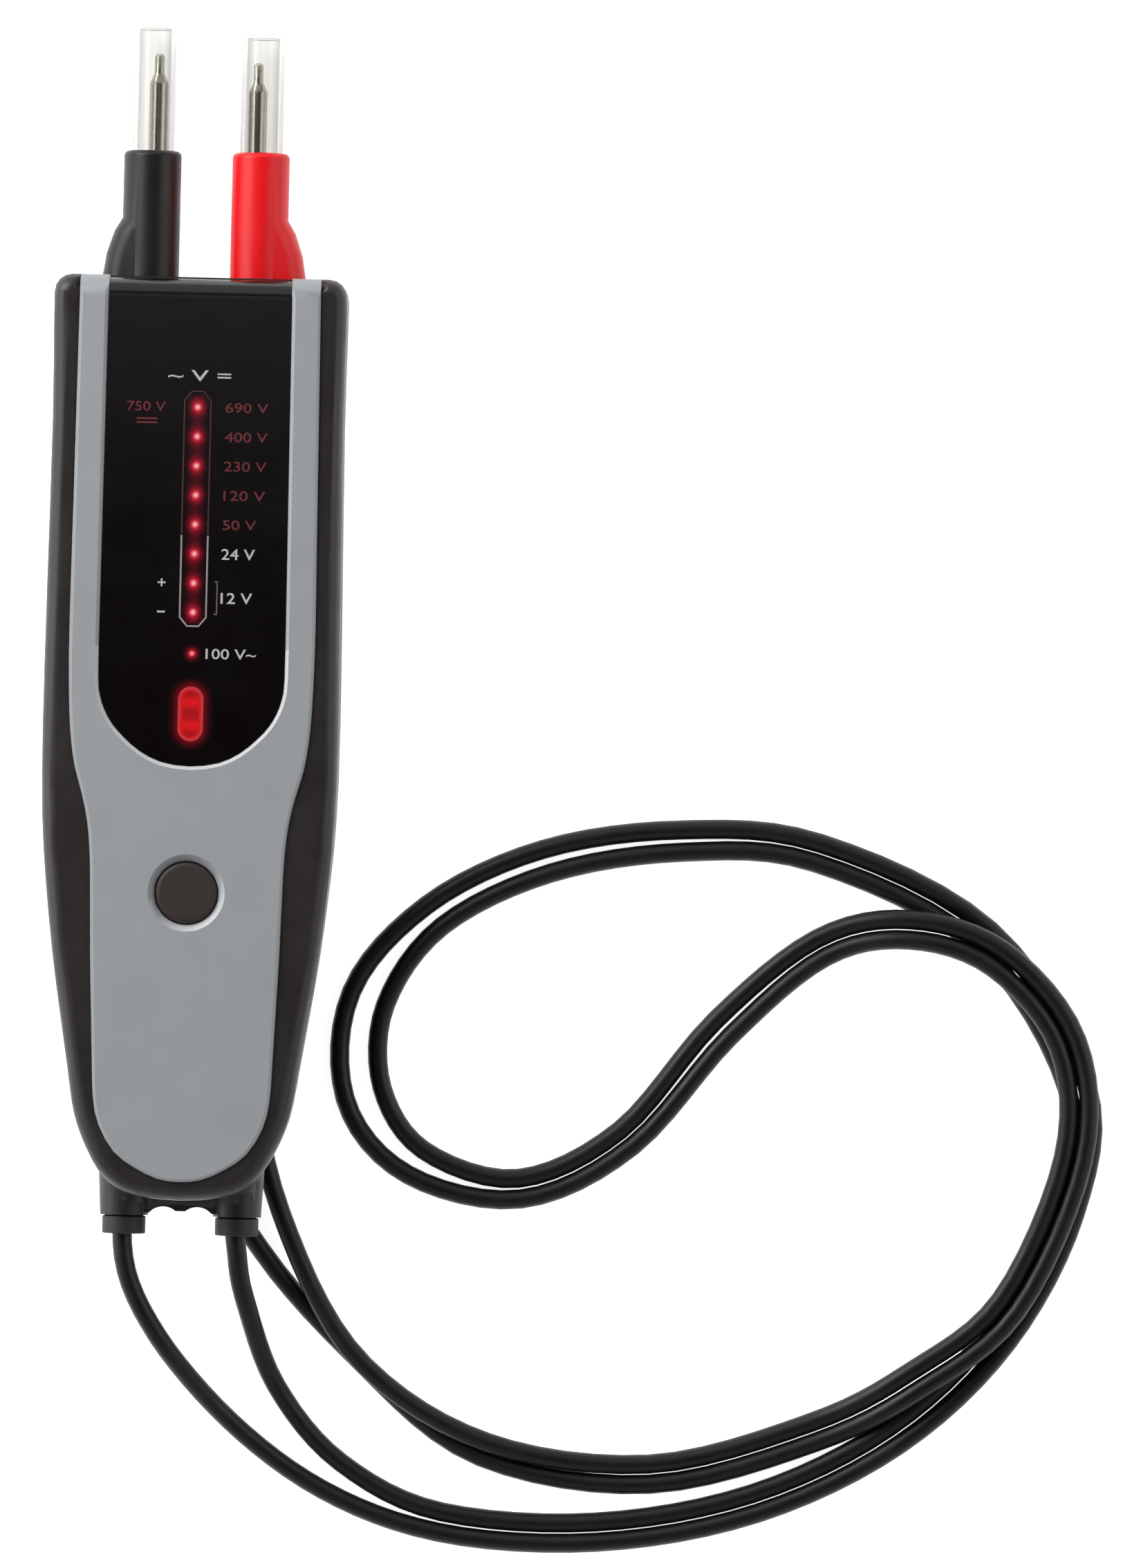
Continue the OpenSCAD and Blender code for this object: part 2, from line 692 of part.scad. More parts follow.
module light_mask() {
    middle = (led_first + led_single) / 2;
    color("#1c1c1c") in_case() difference() {
        translate([0, -middle, 0]) pill(2 * mask_half_w,
            led_single - led_first + 2 * mask_margin, board_top_z, pocket_z);
        for (y = led_places) translate([0, -y, 0])
            rod_z(led_r + led_gap, board_top_z - cut, pocket_z + cut);
    }
}

module led(h) {
    rod_z(led_r, 0, h - led_r);
    translate([0, 0, h - led_r]) sphere(r = led_r);
}

module indicator_leds() {
    color("#e04858") in_case() for (y = led_places) translate([0, -y, board_top_z]) led(led_h);
}

module lamp_leds() {
    color("#d83040") in_case() for (s = [-1, 1])
        translate([0, -lamp_at + s * lamp_led_spread, board_top_z]) led(led_h);
}

module circuit_board() {
    upper_w = board_half_w;
    lower_w = board_low_half_w;
    color("#1f5a36") in_case() difference() {
        prism([[-upper_w, -board_start], [-upper_w, -board_step], [-lower_w, -board_step],
            [-lower_w, -board_end], [lower_w, -board_end], [lower_w, -board_step],
            [upper_w, -board_step], [upper_w, -board_start]], board_z, board_top_z);
        at_screws() rod_z(screw_post_r + board_play, board_z - cut, board_top_z + cut);
        at_standoffs() rod_z(board_screw_r + pilot_gap, board_z - cut, board_top_z + cut);
    }
}

// The button's top, retaining flange and stem, turned about its own axis
module test_button() {
    top = cover_top_z - button_sink;
    flange_top = plate_low_z - lay_gap;
    flange_low = flange_top - button_flange_t;
    stem_low = board_top_z + switch_h + plunger_rise;
    edge = [for (i = [0:arc_steps]) let (a = 90 * i / arc_steps)
        [button_r - button_edge_r + button_edge_r * cos(a), top - button_edge_r + button_edge_r * sin(a)]];
    color("#2b2423") in_case() translate([0, -button_at, 0]) rotate_extrude() polygon(concat(
        [[0, stem_low], [button_stem_r, stem_low], [button_stem_r, flange_low],
         [button_r + button_flange, flange_low], [button_r + button_flange, flange_top],
         [button_r, flange_top]], edge, [[0, top]]));
}

module switch_plunger() {
    plunger_top = board_top_z + switch_h + plunger_rise;
    color("#8f2a2a") in_case() translate([0, -button_at, 0])
        rod_z(plunger_r, plunger_top - plunger_len, plunger_top);
}

module button_switch() {
    color("#1b1b1f") in_case() translate([0, -button_at, 0]) difference() {
        block([-switch_w / 2, -switch_w / 2, board_top_z],
            [switch_w / 2, switch_w / 2, board_top_z + switch_h]);
        rod_z(plunger_r + plunger_gap, board_top_z + switch_floor - plunger_gap,
            board_top_z + switch_h + cut);
    }
}

resistor_r = 2.3;
resistor_len = 18;
resistor_x = 12;
resistor_at = 36;
resistor_wire_r = 0.4;
resistor_wire_len = 3;
module series_resistors() {
    color("#3c6f9e") in_case() for (s = [-1, 1])
        translate([s * resistor_x, -resistor_at, board_top_z + resistor_r]) {
            rod_y(resistor_r, -resistor_len / 2, resistor_len / 2);
            rod_y(resistor_wire_r, -resistor_len / 2 - resistor_wire_len,
                resistor_len / 2 + resistor_wire_len);
            for (e = [-1, 1]) translate([0, e * (resistor_len / 2 + resistor_wire_len), 0])
                rod_z(resistor_wire_r, -resistor_r, resistor_wire_r);
        }
}

chip_w = 9;
chip_t = 1.6;
chip_x = 12;
chip_at = 64;
module controller_chip() {
    color("#202024") in_case() block([chip_x - chip_w / 2, -chip_at - chip_w / 2, board_top_z],
        [chip_x + chip_w / 2, -chip_at + chip_w / 2, board_top_z + chip_t]);
}

capacitor_r = 3;
capacitor_h = 5;
capacitor_x = 12;
capacitor_at = 60;
capacitor_pitch = 8;
module capacitors() {
    color("#34465c") in_case() for (i = [0:1])
        translate([-capacitor_x, -capacitor_at - i * capacitor_pitch, 0])
            rod_z(capacitor_r, board_top_z, board_top_z + capacitor_h);
}

buzzer_r = 5;
buzzer_h = 4.5;
buzzer_x = 12;
buzzer_at = 92;
buzzer_hole_r = 1;
module buzzer() {
    color("#17171a") in_case() translate([buzzer_x, -buzzer_at, 0]) difference() {
        rod_z(buzzer_r, board_top_z, board_top_z + buzzer_h);
        rod_z(buzzer_hole_r, board_top_z + buzzer_h / 2, board_top_z + buzzer_h + cut);
    }
}

module board_screws() {
    color("#b9bcc0") in_case() at_standoffs() {
        rod_z(board_screw_r, board_z - board_screw_len + pilot_gap, board_top_z + board_head_t / 2);
        rod_z(board_head_r, board_top_z, board_top_z + board_head_t);
    }
}

// Crimps on the ends of the leads inside the case, with a strip up to the board
tag_r = 1.5;
tag_len = 2.2;
tag_strip_t = 0.8;
tag_half_w = 1;
lead_inner_end = case_top_y - pair_route[0][1];
module lead_tags() {
    color("#c9a24e") in_case() for (s = [-1, 1]) translate([s * pair_route[0][3], -lead_inner_end, 0]) {
        translate([0, 0, pair_route[0][2]]) rod_y(tag_r, 0, tag_len);
        block([-tag_half_w, tag_len - tag_strip_t, pair_route[0][2]], [tag_half_w, tag_len, board_z]);
    }
}

module battery_cells() {
    color("#c8a040") in_case() for (s = [-1, 1])
        translate([s * cell_spread, -bay_start - contact_t, bay_floor_z + cell_gap + cell_r]) {
            rod_y(cell_r, -cell_len + cell_nub_len, 0);
            rod_y(cell_nub_r, -cell_len, -cell_len + 2 * cell_nub_len);
        }
}

contact_half_w = 3.6;
contact_low_gap = 0.6;
contact_bump_r = 1.6;
module battery_contacts() {
    color("#c4c6c8") in_case() for (s = [-1, 1]) translate([s * cell_spread, 0, 0])
        for (e = [0, 1]) translate([0, -(bay_start + e * (bay_end - bay_start)), 0]) {
            low = e == 0 ? -contact_plate_t : 0;
            block([-contact_half_w, low, bay_floor_z + contact_low_gap],
                [contact_half_w, low + contact_plate_t, board_z]);
            translate([0, 0, bay_floor_z + cell_gap + cell_r])
                rod_y(contact_bump_r, e == 0 ? -contact_t : contact_plate_t / 2,
                    e == 0 ? -contact_plate_t / 2 : contact_t);
        }
}

module battery_door() {
    half_w = bay_half_w + door_ledge - door_gap;
    low = bay_floor_z - door_t;
    color("#2c292a") in_case() difference() {
        union() {
            block([-half_w, -door_end + door_gap, low], [half_w, -door_start - door_gap, bay_floor_z]);
            block([-door_lip_half_w, -door_start - 2 * door_gap, low],
                [door_lip_half_w, -door_start - door_gap, bay_floor_z + door_lip_t]);
            block([-door_lip_half_w, -door_start - 2 * door_gap, bay_floor_z + pilot_gap],
                [door_lip_half_w, -door_start + door_lip_len, bay_floor_z + door_lip_t]);
        }
        translate([0, -door_screw_at, 0]) {
            rod_z(door_screw_r + screw_play, low - cut, bay_floor_z + cut);
            rod_z(door_head_r + screw_play, low - cut, low + door_head_t);
        }
    }
}

module slotted_head(r, low, high) {
    slot_w = r / 4;
    difference() {
        rod_z(r, low, high);
        for (a = [0, 90]) rotate([0, 0, a])
            block([-slot_w / 2, -r * 2 / 3, low - cut], [slot_w / 2, r * 2 / 3, low + (high - low) / 2]);
    }
}

module battery_door_screw() {
    low = bay_floor_z - door_t;
    color("#a9acb0") in_case() translate([0, -door_screw_at, 0]) {
        slotted_head(door_head_r, low + pilot_gap, low + door_head_t);
        rod_z(door_screw_r, low + door_head_t, low + door_screw_len);
    }
}

module case_screws() {
    color("#a9acb0") in_case() at_screws() {
        slotted_head(screw_head_r, screw_sink, screw_sink + screw_head_t);
        rod_z(screw_r, screw_sink + screw_head_t, split_z + screw_bite);
    }
}

module lead_boot(side) {
    neck = boss_end + boot_step;
    color("#1d1b1c") in_case() translate([side * boss_spacing / 2, 0, split_z]) difference() {
        union() {
            rod_y(boot_inner_r, -boss_start, -boss_start + boot_inner_t);
            rod_y(boot_body_r, -neck - boot_step, -boss_start + boot_inner_t / 2);
            rod_y(boot_flange_r, -boot_end, -neck);
        }
        rod_y(lead_bore_r, -boot_end - cut, -boss_start + boot_inner_t + cut);
    }
}

// Extra height of the red lead at a row of the route
function lift(row) = len(row) > 4 ? row[4] : 0;
// Point of the route of the pair: segment i, share t of the way along it
function route_at(i, t) =
    let (r = [for (k = [-1:2]) at(pair_route, i + k)])
    concat([for (k = [0, 1]) curve(r[0][k], r[1][k], r[2][k], r[3][k], t)],
        [for (k = [2, 3]) glide(r[0][k], r[1][k], r[2][k], r[3][k], t)],
        glide(lift(r[0]), lift(r[1]), lift(r[2]), lift(r[3]), t));
pair_middle = concat(
    [for (i = [0:len(pair_route) - 2]) for (k = [0:lead_steps - 1]) route_at(i, k / lead_steps)],
    [route_at(len(pair_route) - 1, 0)]);
function heading(list, i) =
    let (d = at(list, i + 1) - at(list, i - 1)) unit([d[0], d[1], 0]);
// One lead of the pair lies at the right-hand side of the route, the other at the left
function lead_points(side) = [for (i = [0:len(pair_middle) - 1])
    let (m = pair_middle[i], h = heading(pair_middle, i))
    [m[0] + side * m[3] * h[1], m[1] - side * m[3] * h[0], m[2] + max(side, 0) * m[4]]];

module lead(side) {
    p = lead_points(side);
    rings = [for (i = [0:len(p) - 1])
        let (t = unit(at(p, i + 1) - at(p, i - 1)), h = unit([-t[1], t[0], 0]), v = cross(t, h))
        [for (k = [0:lead_sides - 1]) let (a = 360 * k / lead_sides)
            p[i] + (h * cos(a) + v * sin(a)) * lead_d / 2]];
    loft(rings);
}

module red_probe_lead() {
    color("#1a1716") lead(1);
}

module black_probe_lead() {
    color("#1a1716") lead(-1);
}

// A docked probe lies along Y with its length counted from the top end of the case
module on_probe(side) {
    in_case() translate([side * probe_spacing / 2, 0, probe_z]) children();
}

module guard_disc(r, reach, y) {
    translate([reach - r, y, 0]) rod_y(r, 0, pilot_gap);
}

module probe_body(side) {
    root_r = barrel_r - guard_tuck;
    edge = [for (i = [0:arc_steps]) let (a = 90 * i / arc_steps)
        [barrel_r - barrel_edge_r + barrel_edge_r * cos(a),
         barrel_rise - barrel_edge_r + barrel_edge_r * sin(a)]];
    grooves = [for (i = [0:grip_count - 1]) let (y = -handle_len + grip_pitch + i * grip_pitch)
        each [[handle_r, y - grip_w / 2], [handle_r - grip_depth, y - grip_w / 2 + grip_depth],
            [handle_r - grip_depth, y + grip_w / 2 - grip_depth], [handle_r, y + grip_w / 2]]];
    difference() {
        union() {
            rotate([-90, 0, 0]) rotate_extrude() polygon(concat(
                [[0, -handle_len], [handle_r - grip_depth, -handle_len],
                 [handle_r, -handle_len + grip_depth]], grooves,
                [[handle_r, -grip_depth], [barrel_r, 0]], edge, [[0, barrel_rise]]));
            scale([side, 1, 1]) hull($fn = hull_fn) {
                for (s = guard_shares) guard_disc(root_r * (1 - guard_thin_share * s[1]),
                    root_r + (guard_reach - root_r) * s[1], guard_foot + (guard_rise - guard_foot) * s[0]);
                guard_disc(root_r, root_r, guard_foot);
            }
        }
        rod_y(chamber_r, chamber_low, barrel_rise - mouth_len);
        rod_y(sleeve_r + mouth_gap, chamber_low, barrel_rise + cut);
        translate([-side * tip_offset, 0, 0]) rod_y(tip_r + tip_fit, tip_low, chamber_low + cut);
        rod_y(lead_bore_r, -handle_len - cut, tip_low);
        rod_y(boot_insert_r + pilot_gap, -handle_len - cut, -handle_len + boot_insert_len);
    }
}

module black_probe_body() {
    color("#1e1c1b") on_probe(-1) probe_body(-1);
}

module red_probe_body() {
    color("#e2000f") on_probe(1) probe_body(1);
}

module probe_tip(side) {
    shoulder = barrel_rise + tip_out - max(side, 0) * red_tip_short;
    end = shoulder + cone_len + point_len;
    color("#b4b1a9") on_probe(side) translate([-side * tip_offset, 0, 0])
        rotate([-90, 0, 0]) rotate_extrude() polygon([[0, tip_low], [tip_r, tip_low],
            [tip_r, shoulder], [point_r, shoulder + cone_len], [point_r, end - point_r / 2],
            [point_r / 2, end], [0, end]]);
}

module black_probe_tip() {
    probe_tip(-1);
}

module red_probe_tip() {
    probe_tip(1);
}

module tip_sleeve(side) {
    stop = barrel_rise - mouth_len;
    inner = sleeve_r - sleeve_wall;
    rise = sleeve_rise - max(side, 0) * red_tip_short;
    color([0.9, 0.92, 0.9, 0.4]) on_probe(side) rotate([-90, 0, 0]) rotate_extrude() polygon([
        [inner, stop - flange_t], [flange_r, stop - flange_t], [flange_r, stop], [sleeve_r, stop],
        [sleeve_r, rise - sleeve_wall / 2], [sleeve_r - sleeve_wall / 2, rise],
        [inner, rise]]);
}

module black_tip_sleeve() {
    tip_sleeve(-1);
}

module red_tip_sleeve() {
    tip_sleeve(1);
}

// Compression spring between the floor of the chamber and the flange of the sleeve
module sleeve_spring(side) {
    low = chamber_low + spring_wire_r + spring_gap;
    high = barrel_rise - mouth_len - flange_t - spring_wire_r - spring_gap;
    count = spring_turns * spring_steps;
    middle = [for (i = [0:count]) let (a = 360 * i / spring_steps)
        [spring_r * cos(a), low + (high - low) * i / count, spring_r * sin(a)]];
    rings = [for (i = [0:count])
        let (a = 360 * i / spring_steps, out = [cos(a), 0, sin(a)], along = [0, 1, 0])
        [for (k = [0:spring_sides - 1]) let (b = 360 * k / spring_sides)
            middle[i] + (along * cos(b) - out * sin(b)) * spring_wire_r]];
    color("#a8a8a8") on_probe(side) loft(rings);
}

module black_sleeve_spring() {
    sleeve_spring(-1);
}

module red_sleeve_spring() {
    sleeve_spring(1);
}

// Stripped core of the lead, from the lead's end to the foot of the tip
lead_outer_end = pair_route[len(pair_route) - 1][1] - case_top_y;
module probe_core(side) {
    color("#b87333") on_probe(side) translate([-side * tip_offset / 2, 0, 0])
        rod_y(core_r, lead_outer_end + core_gap, tip_low);
}

module black_probe_core() {
    probe_core(-1);
}

module red_probe_core() {
    probe_core(1);
}

// Ribbed strain relief in the tail of a probe
module probe_boot(side) {
    rib = boot_len / (2 * boot_rib_count);
    function taper(share) = boot_wide_r + (boot_thin_r - boot_wide_r) * share;
    ribs = [for (i = [0:2 * boot_rib_count - 1])
        let (a = i / (2 * boot_rib_count), b = (i + 1) / (2 * boot_rib_count), d = (i % 2) * boot_rib_depth)
        each [[taper(a) - d, -handle_len - i * rib], [taper(b) - d, -handle_len - (i + 1) * rib]]];
    on_probe(side) difference() {
        rotate([-90, 0, 0]) rotate_extrude() polygon(concat(
            [[0, -handle_len + boot_insert_len], [boot_insert_r, -handle_len + boot_insert_len],
             [boot_insert_r, -handle_len]], ribs, [[0, -handle_len - boot_len]]));
        rod_y(lead_bore_r, -handle_len - boot_len - cut, -handle_len + boot_insert_len + cut);
    }
}

module black_probe_boot() {
    color("#1b1918") probe_boot(-1);
}

module red_probe_boot() {
    color("#1b1918") probe_boot(1);
}

front_shell();
rear_case();
front_cover();
display_lens();
lamp_lens();
case_gasket();
light_mask();
indicator_leds();
lamp_leds();
circuit_board();
test_button();
switch_plunger();
button_switch();
series_resistors();
controller_chip();
capacitors();
buzzer();
board_screws();
lead_tags();
battery_cells();
battery_contacts();
battery_door();
battery_door_screw();
case_screws();
lead_boot(-1);  // left_lead_boot
lead_boot(1);  // right_lead_boot
red_probe_lead();
black_probe_lead();
black_probe_body();
red_probe_body();
black_probe_tip();
red_probe_tip();
black_tip_sleeve();
red_tip_sleeve();
black_sleeve_spring();
red_sleeve_spring();
black_probe_core();
red_probe_core();
black_probe_boot();
red_probe_boot();
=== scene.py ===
import json
from math import copysign, exp, hypot, pi, radians

import bpy
from mathutils import Matrix, Vector


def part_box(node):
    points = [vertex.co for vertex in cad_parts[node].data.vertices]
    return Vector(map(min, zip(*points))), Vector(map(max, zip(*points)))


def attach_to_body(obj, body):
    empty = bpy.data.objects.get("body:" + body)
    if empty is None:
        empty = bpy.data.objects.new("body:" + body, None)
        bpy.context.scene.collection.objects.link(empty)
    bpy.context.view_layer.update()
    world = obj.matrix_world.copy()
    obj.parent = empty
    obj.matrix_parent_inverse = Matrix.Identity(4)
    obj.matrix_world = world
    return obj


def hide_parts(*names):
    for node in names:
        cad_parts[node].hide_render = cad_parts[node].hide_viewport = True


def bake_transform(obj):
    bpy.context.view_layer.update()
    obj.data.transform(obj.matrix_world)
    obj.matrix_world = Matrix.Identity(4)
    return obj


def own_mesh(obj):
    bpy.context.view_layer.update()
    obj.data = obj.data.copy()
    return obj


bl_info = {
    "name": "Two-pole voltage tester",
    "version": (1, 0, 0),
    "blender": (4, 5, 0),
    "location": "View3D > Sidebar > Tester",
    "description": "Dresses the packed voltage tester with moulded shells, lights, legends, "
                   "sleeves and leads",
    "category": "Object",
}

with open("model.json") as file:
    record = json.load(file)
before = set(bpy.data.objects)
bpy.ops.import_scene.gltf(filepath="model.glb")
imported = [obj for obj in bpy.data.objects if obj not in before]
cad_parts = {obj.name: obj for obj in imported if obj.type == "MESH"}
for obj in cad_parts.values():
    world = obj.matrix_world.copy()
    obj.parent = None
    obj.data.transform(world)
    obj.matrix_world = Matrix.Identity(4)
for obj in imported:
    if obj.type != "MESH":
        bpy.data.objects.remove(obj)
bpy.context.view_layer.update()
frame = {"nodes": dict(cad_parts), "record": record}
NODES = frame["nodes"]
BODY_OF = {n: body for body, names in frame["record"]["behaviour"]["bodies"].items() for n in names}
MM = 0.001

# Heights and ends that the CAD gives: the lens's lower end and its face, and the case's top end
LENS_LOW, LENS_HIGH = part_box("display_lens")
LENS_Z = LENS_HIGH[2]
TOP_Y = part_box("front_shell")[1][1]

# Sockets of the Mix node by number, because its colour and its value sockets share their names
COLOUR_A, COLOUR_B, COLOUR_RESULT = 6, 7, 2
VALUE_A, VALUE_B, VALUE_RESULT = 2, 3, 0

# Roughness of a polished bevel
POLISHED = 0.22
# How far the flecks of a lit surface shift its glow, from darkest to brightest
FLECK = 0.12


def hex_linear(code):
    """sRGB hex text to a linear colour with alpha 1."""
    parts = [int(code[i:i + 2], 16) / 255 for i in (1, 3, 5)]
    return tuple(c / 12.92 if c <= 0.04045 else ((c + 0.055) / 1.055) ** 2.4 for c in parts) + (1.0,)


def add_node(tree, kind, settings=None, links=None):
    """Adds a node, sets its values or properties and links other sockets to its inputs."""
    node = tree.nodes.new(kind)
    for key, value in (settings or {}).items():
        if isinstance(key, str) and hasattr(node, key):
            setattr(node, key, value)
        else:
            node.inputs[key].default_value = value
    for key, socket in (links or {}).items():
        tree.links.new(socket, node.inputs[key])
    return node


def new_material(name):
    mat = bpy.data.materials.new(name)
    mat.use_nodes = True
    mat.node_tree.nodes.clear()
    return mat, mat.node_tree


def finish_material(tree, shader):
    """Links the shader to the output and lays the nodes out in rows of six."""
    add_node(tree, "ShaderNodeOutputMaterial", {}, {"Surface": shader.outputs[0]})
    for i, node in enumerate(tree.nodes):
        node.location = (260 * (i % 6), -320 * (i // 6))


def moulded_plastic(name, colour, roughness, spark_mm, depth, spread=0.06, coat=0.0, ior=1.5, shade=0.82,
                    edge=None, glow=0.0):
    """Injection-moulded plastic: a fine sparked grain, faint cloudy colour, slightly uneven gloss.

    With an edge colour, faces marked by the attribute are glossier and are painted lighter in that colour: a
    painted highlight."""
    mat, t = new_material(name)
    place = add_node(t, "ShaderNodeTexCoord")
    cloud = add_node(t, "ShaderNodeTexNoise", {"Scale": 1 / (9 * MM), "Detail": 3.0, "Roughness": 0.6},
                     {"Vector": place.outputs["Object"]})
    grain = add_node(t, "ShaderNodeTexNoise", {"Scale": 1 / (spark_mm * MM), "Detail": 2.0, "Roughness": 0.5},
                     {"Vector": place.outputs["Object"]})
    deep = tuple(c * shade for c in colour[:3]) + (1.0,)
    tone = add_node(t, "ShaderNodeMix", {"data_type": "RGBA", COLOUR_A: deep, COLOUR_B: colour},
                    {"Factor": cloud.outputs["Fac"]})
    rough = add_node(t, "ShaderNodeMapRange", {"From Min": 0.3, "From Max": 0.7,
                                               "To Min": roughness - spread, "To Max": roughness + spread},
                     {"Value": cloud.outputs["Fac"]})
    tone_out, rough_out = tone.outputs[COLOUR_RESULT], rough.outputs["Result"]
    if edge:
        polish = add_node(t, "ShaderNodeAttribute", {"attribute_name": "polish"})
        # Painted highlight: marked faces are mixed toward the lighter edge colour
        tone = add_node(t, "ShaderNodeMix", {"data_type": "RGBA", COLOUR_B: edge},
                        {"Factor": polish.outputs["Fac"], COLOUR_A: tone_out})
        rough = add_node(t, "ShaderNodeMix", {"data_type": "FLOAT", VALUE_B: POLISHED},
                         {"Factor": polish.outputs["Fac"], VALUE_A: rough_out})
        tone_out, rough_out = tone.outputs[COLOUR_RESULT], rough.outputs[VALUE_RESULT]
    bump = add_node(t, "ShaderNodeBump", {"Strength": depth, "Distance": 0.05 * MM},
                    {"Height": grain.outputs["Fac"]})
    links = {"Base Color": tone_out, "Roughness": rough_out, "Normal": bump.outputs["Normal"]}
    if glow:
        links["Emission Color"] = tone_out
    shader = add_node(t, "ShaderNodeBsdfPrincipled", {"IOR": ior, "Coat Weight": coat, "Coat Roughness": 0.1,
                                                      "Emission Strength": glow}, links)
    finish_material(t, shader)
    return mat


def plated_metal(name, light, dark, roughness, line_mm, along="Y", depth=0.1, spread=0.08):
    """Turned or drawn metal: fine lines round or along the piece, uneven gloss."""
    mat, t = new_material(name)
    place = add_node(t, "ShaderNodeTexCoord")
    # The pattern is drawn out along the lines: a small scale on an axis makes it long there
    stretch = {"X": (0.05, 1, 1), "Y": (1, 0.05, 1), "Z": (1, 1, 0.05), "round": (0.1, 1, 0.1)}[along]
    mapping = add_node(t, "ShaderNodeMapping", {"Scale": stretch}, {"Vector": place.outputs["Object"]})
    lines = add_node(t, "ShaderNodeTexNoise", {"Scale": 1 / (line_mm * MM), "Detail": 3.0, "Roughness": 0.6},
                     {"Vector": mapping.outputs["Vector"]})
    colour = add_node(t, "ShaderNodeMix", {"data_type": "RGBA", COLOUR_A: hex_linear(dark),
                                           COLOUR_B: hex_linear(light)}, {"Factor": lines.outputs["Fac"]})
    rough = add_node(t, "ShaderNodeMapRange", {"From Min": 0.3, "From Max": 0.7,
                                               "To Min": roughness - spread, "To Max": roughness + spread},
                     {"Value": lines.outputs["Fac"]})
    bump = add_node(t, "ShaderNodeBump", {"Strength": depth, "Distance": 0.02 * MM},
                    {"Height": lines.outputs["Fac"]})
    shader = add_node(t, "ShaderNodeBsdfPrincipled", {"Metallic": 1.0},
                      {"Base Color": colour.outputs[COLOUR_RESULT], "Roughness": rough.outputs["Result"],
                       "Normal": bump.outputs["Normal"]})
    finish_material(t, shader)
    return mat


def clear_plastic(name, tint, edge_tint, roughness, scratch_mm):
    """Clear moulded polycarbonate: nearly colourless, greyer where its wall is seen edge on, rubbed."""
    mat, t = new_material(name)
    place = add_node(t, "ShaderNodeTexCoord")
    mapping = add_node(t, "ShaderNodeMapping", {"Scale": (1, 0.12, 1)}, {"Vector": place.outputs["Object"]})
    rub = add_node(t, "ShaderNodeTexNoise", {"Scale": 1 / (scratch_mm * MM), "Detail": 4.0},
                   {"Vector": mapping.outputs["Vector"]})
    rough = add_node(t, "ShaderNodeMapRange", {"From Min": 0.4, "From Max": 0.75, "To Min": roughness,
                                               "To Max": roughness + 0.12}, {"Value": rub.outputs["Fac"]})
    bump = add_node(t, "ShaderNodeBump", {"Strength": 0.02, "Distance": 0.02 * MM},
                    {"Height": rub.outputs["Fac"]})
    facing = add_node(t, "ShaderNodeLayerWeight", {"Blend": 0.5})
    wall = add_node(t, "ShaderNodeMapRange", {"From Min": 0.12, "From Max": 0.8},
                    {"Value": facing.outputs["Facing"]})
    colour = add_node(t, "ShaderNodeMix", {"data_type": "RGBA", COLOUR_A: hex_linear(tint),
                                           COLOUR_B: hex_linear(edge_tint)}, {0: wall.outputs["Result"]})
    shader = add_node(t, "ShaderNodeBsdfPrincipled", {"Transmission Weight": 1.0, "IOR": 1.3},
                      {"Base Color": colour.outputs[COLOUR_RESULT], "Roughness": rough.outputs["Result"],
                       "Normal": bump.outputs["Normal"]})
    finish_material(t, shader)
    return mat


def glowing(name, stops, strength, under, roughness):
    """Light from behind: its colour runs with the glow attribute, from 0 in the middle to 1 at the edge."""
    mat, t = new_material(name)
    reach = add_node(t, "ShaderNodeAttribute", {"attribute_name": "glow"})
    place = add_node(t, "ShaderNodeTexCoord")
    flecks = add_node(t, "ShaderNodeTexNoise", {"Scale": 1 / (0.5 * MM), "Detail": 2.0},
                      {"Vector": place.outputs["Object"]})
    uneven = add_node(t, "ShaderNodeMath", {"operation": "MULTIPLY_ADD", 1: FLECK, 2: -FLECK / 2},
                      {0: flecks.outputs["Fac"]})
    total = add_node(t, "ShaderNodeMath", {"operation": "ADD", "use_clamp": True},
                     {0: reach.outputs["Fac"], 1: uneven.outputs["Value"]})
    ramp = add_node(t, "ShaderNodeValToRGB", {}, {"Fac": total.outputs["Value"]})
    band = ramp.color_ramp
    while len(band.elements) < len(stops):
        band.elements.new(0.5)
    for element, (where, code) in zip(band.elements, stops):
        element.position = where
        element.color = hex_linear(code)
    shader = add_node(t, "ShaderNodeBsdfPrincipled",
                      {"Base Color": under, "Roughness": roughness, "Emission Strength": strength},
                      {"Emission Color": ramp.outputs["Color"]})
    finish_material(t, shader)
    return mat


MATERIALS = {}


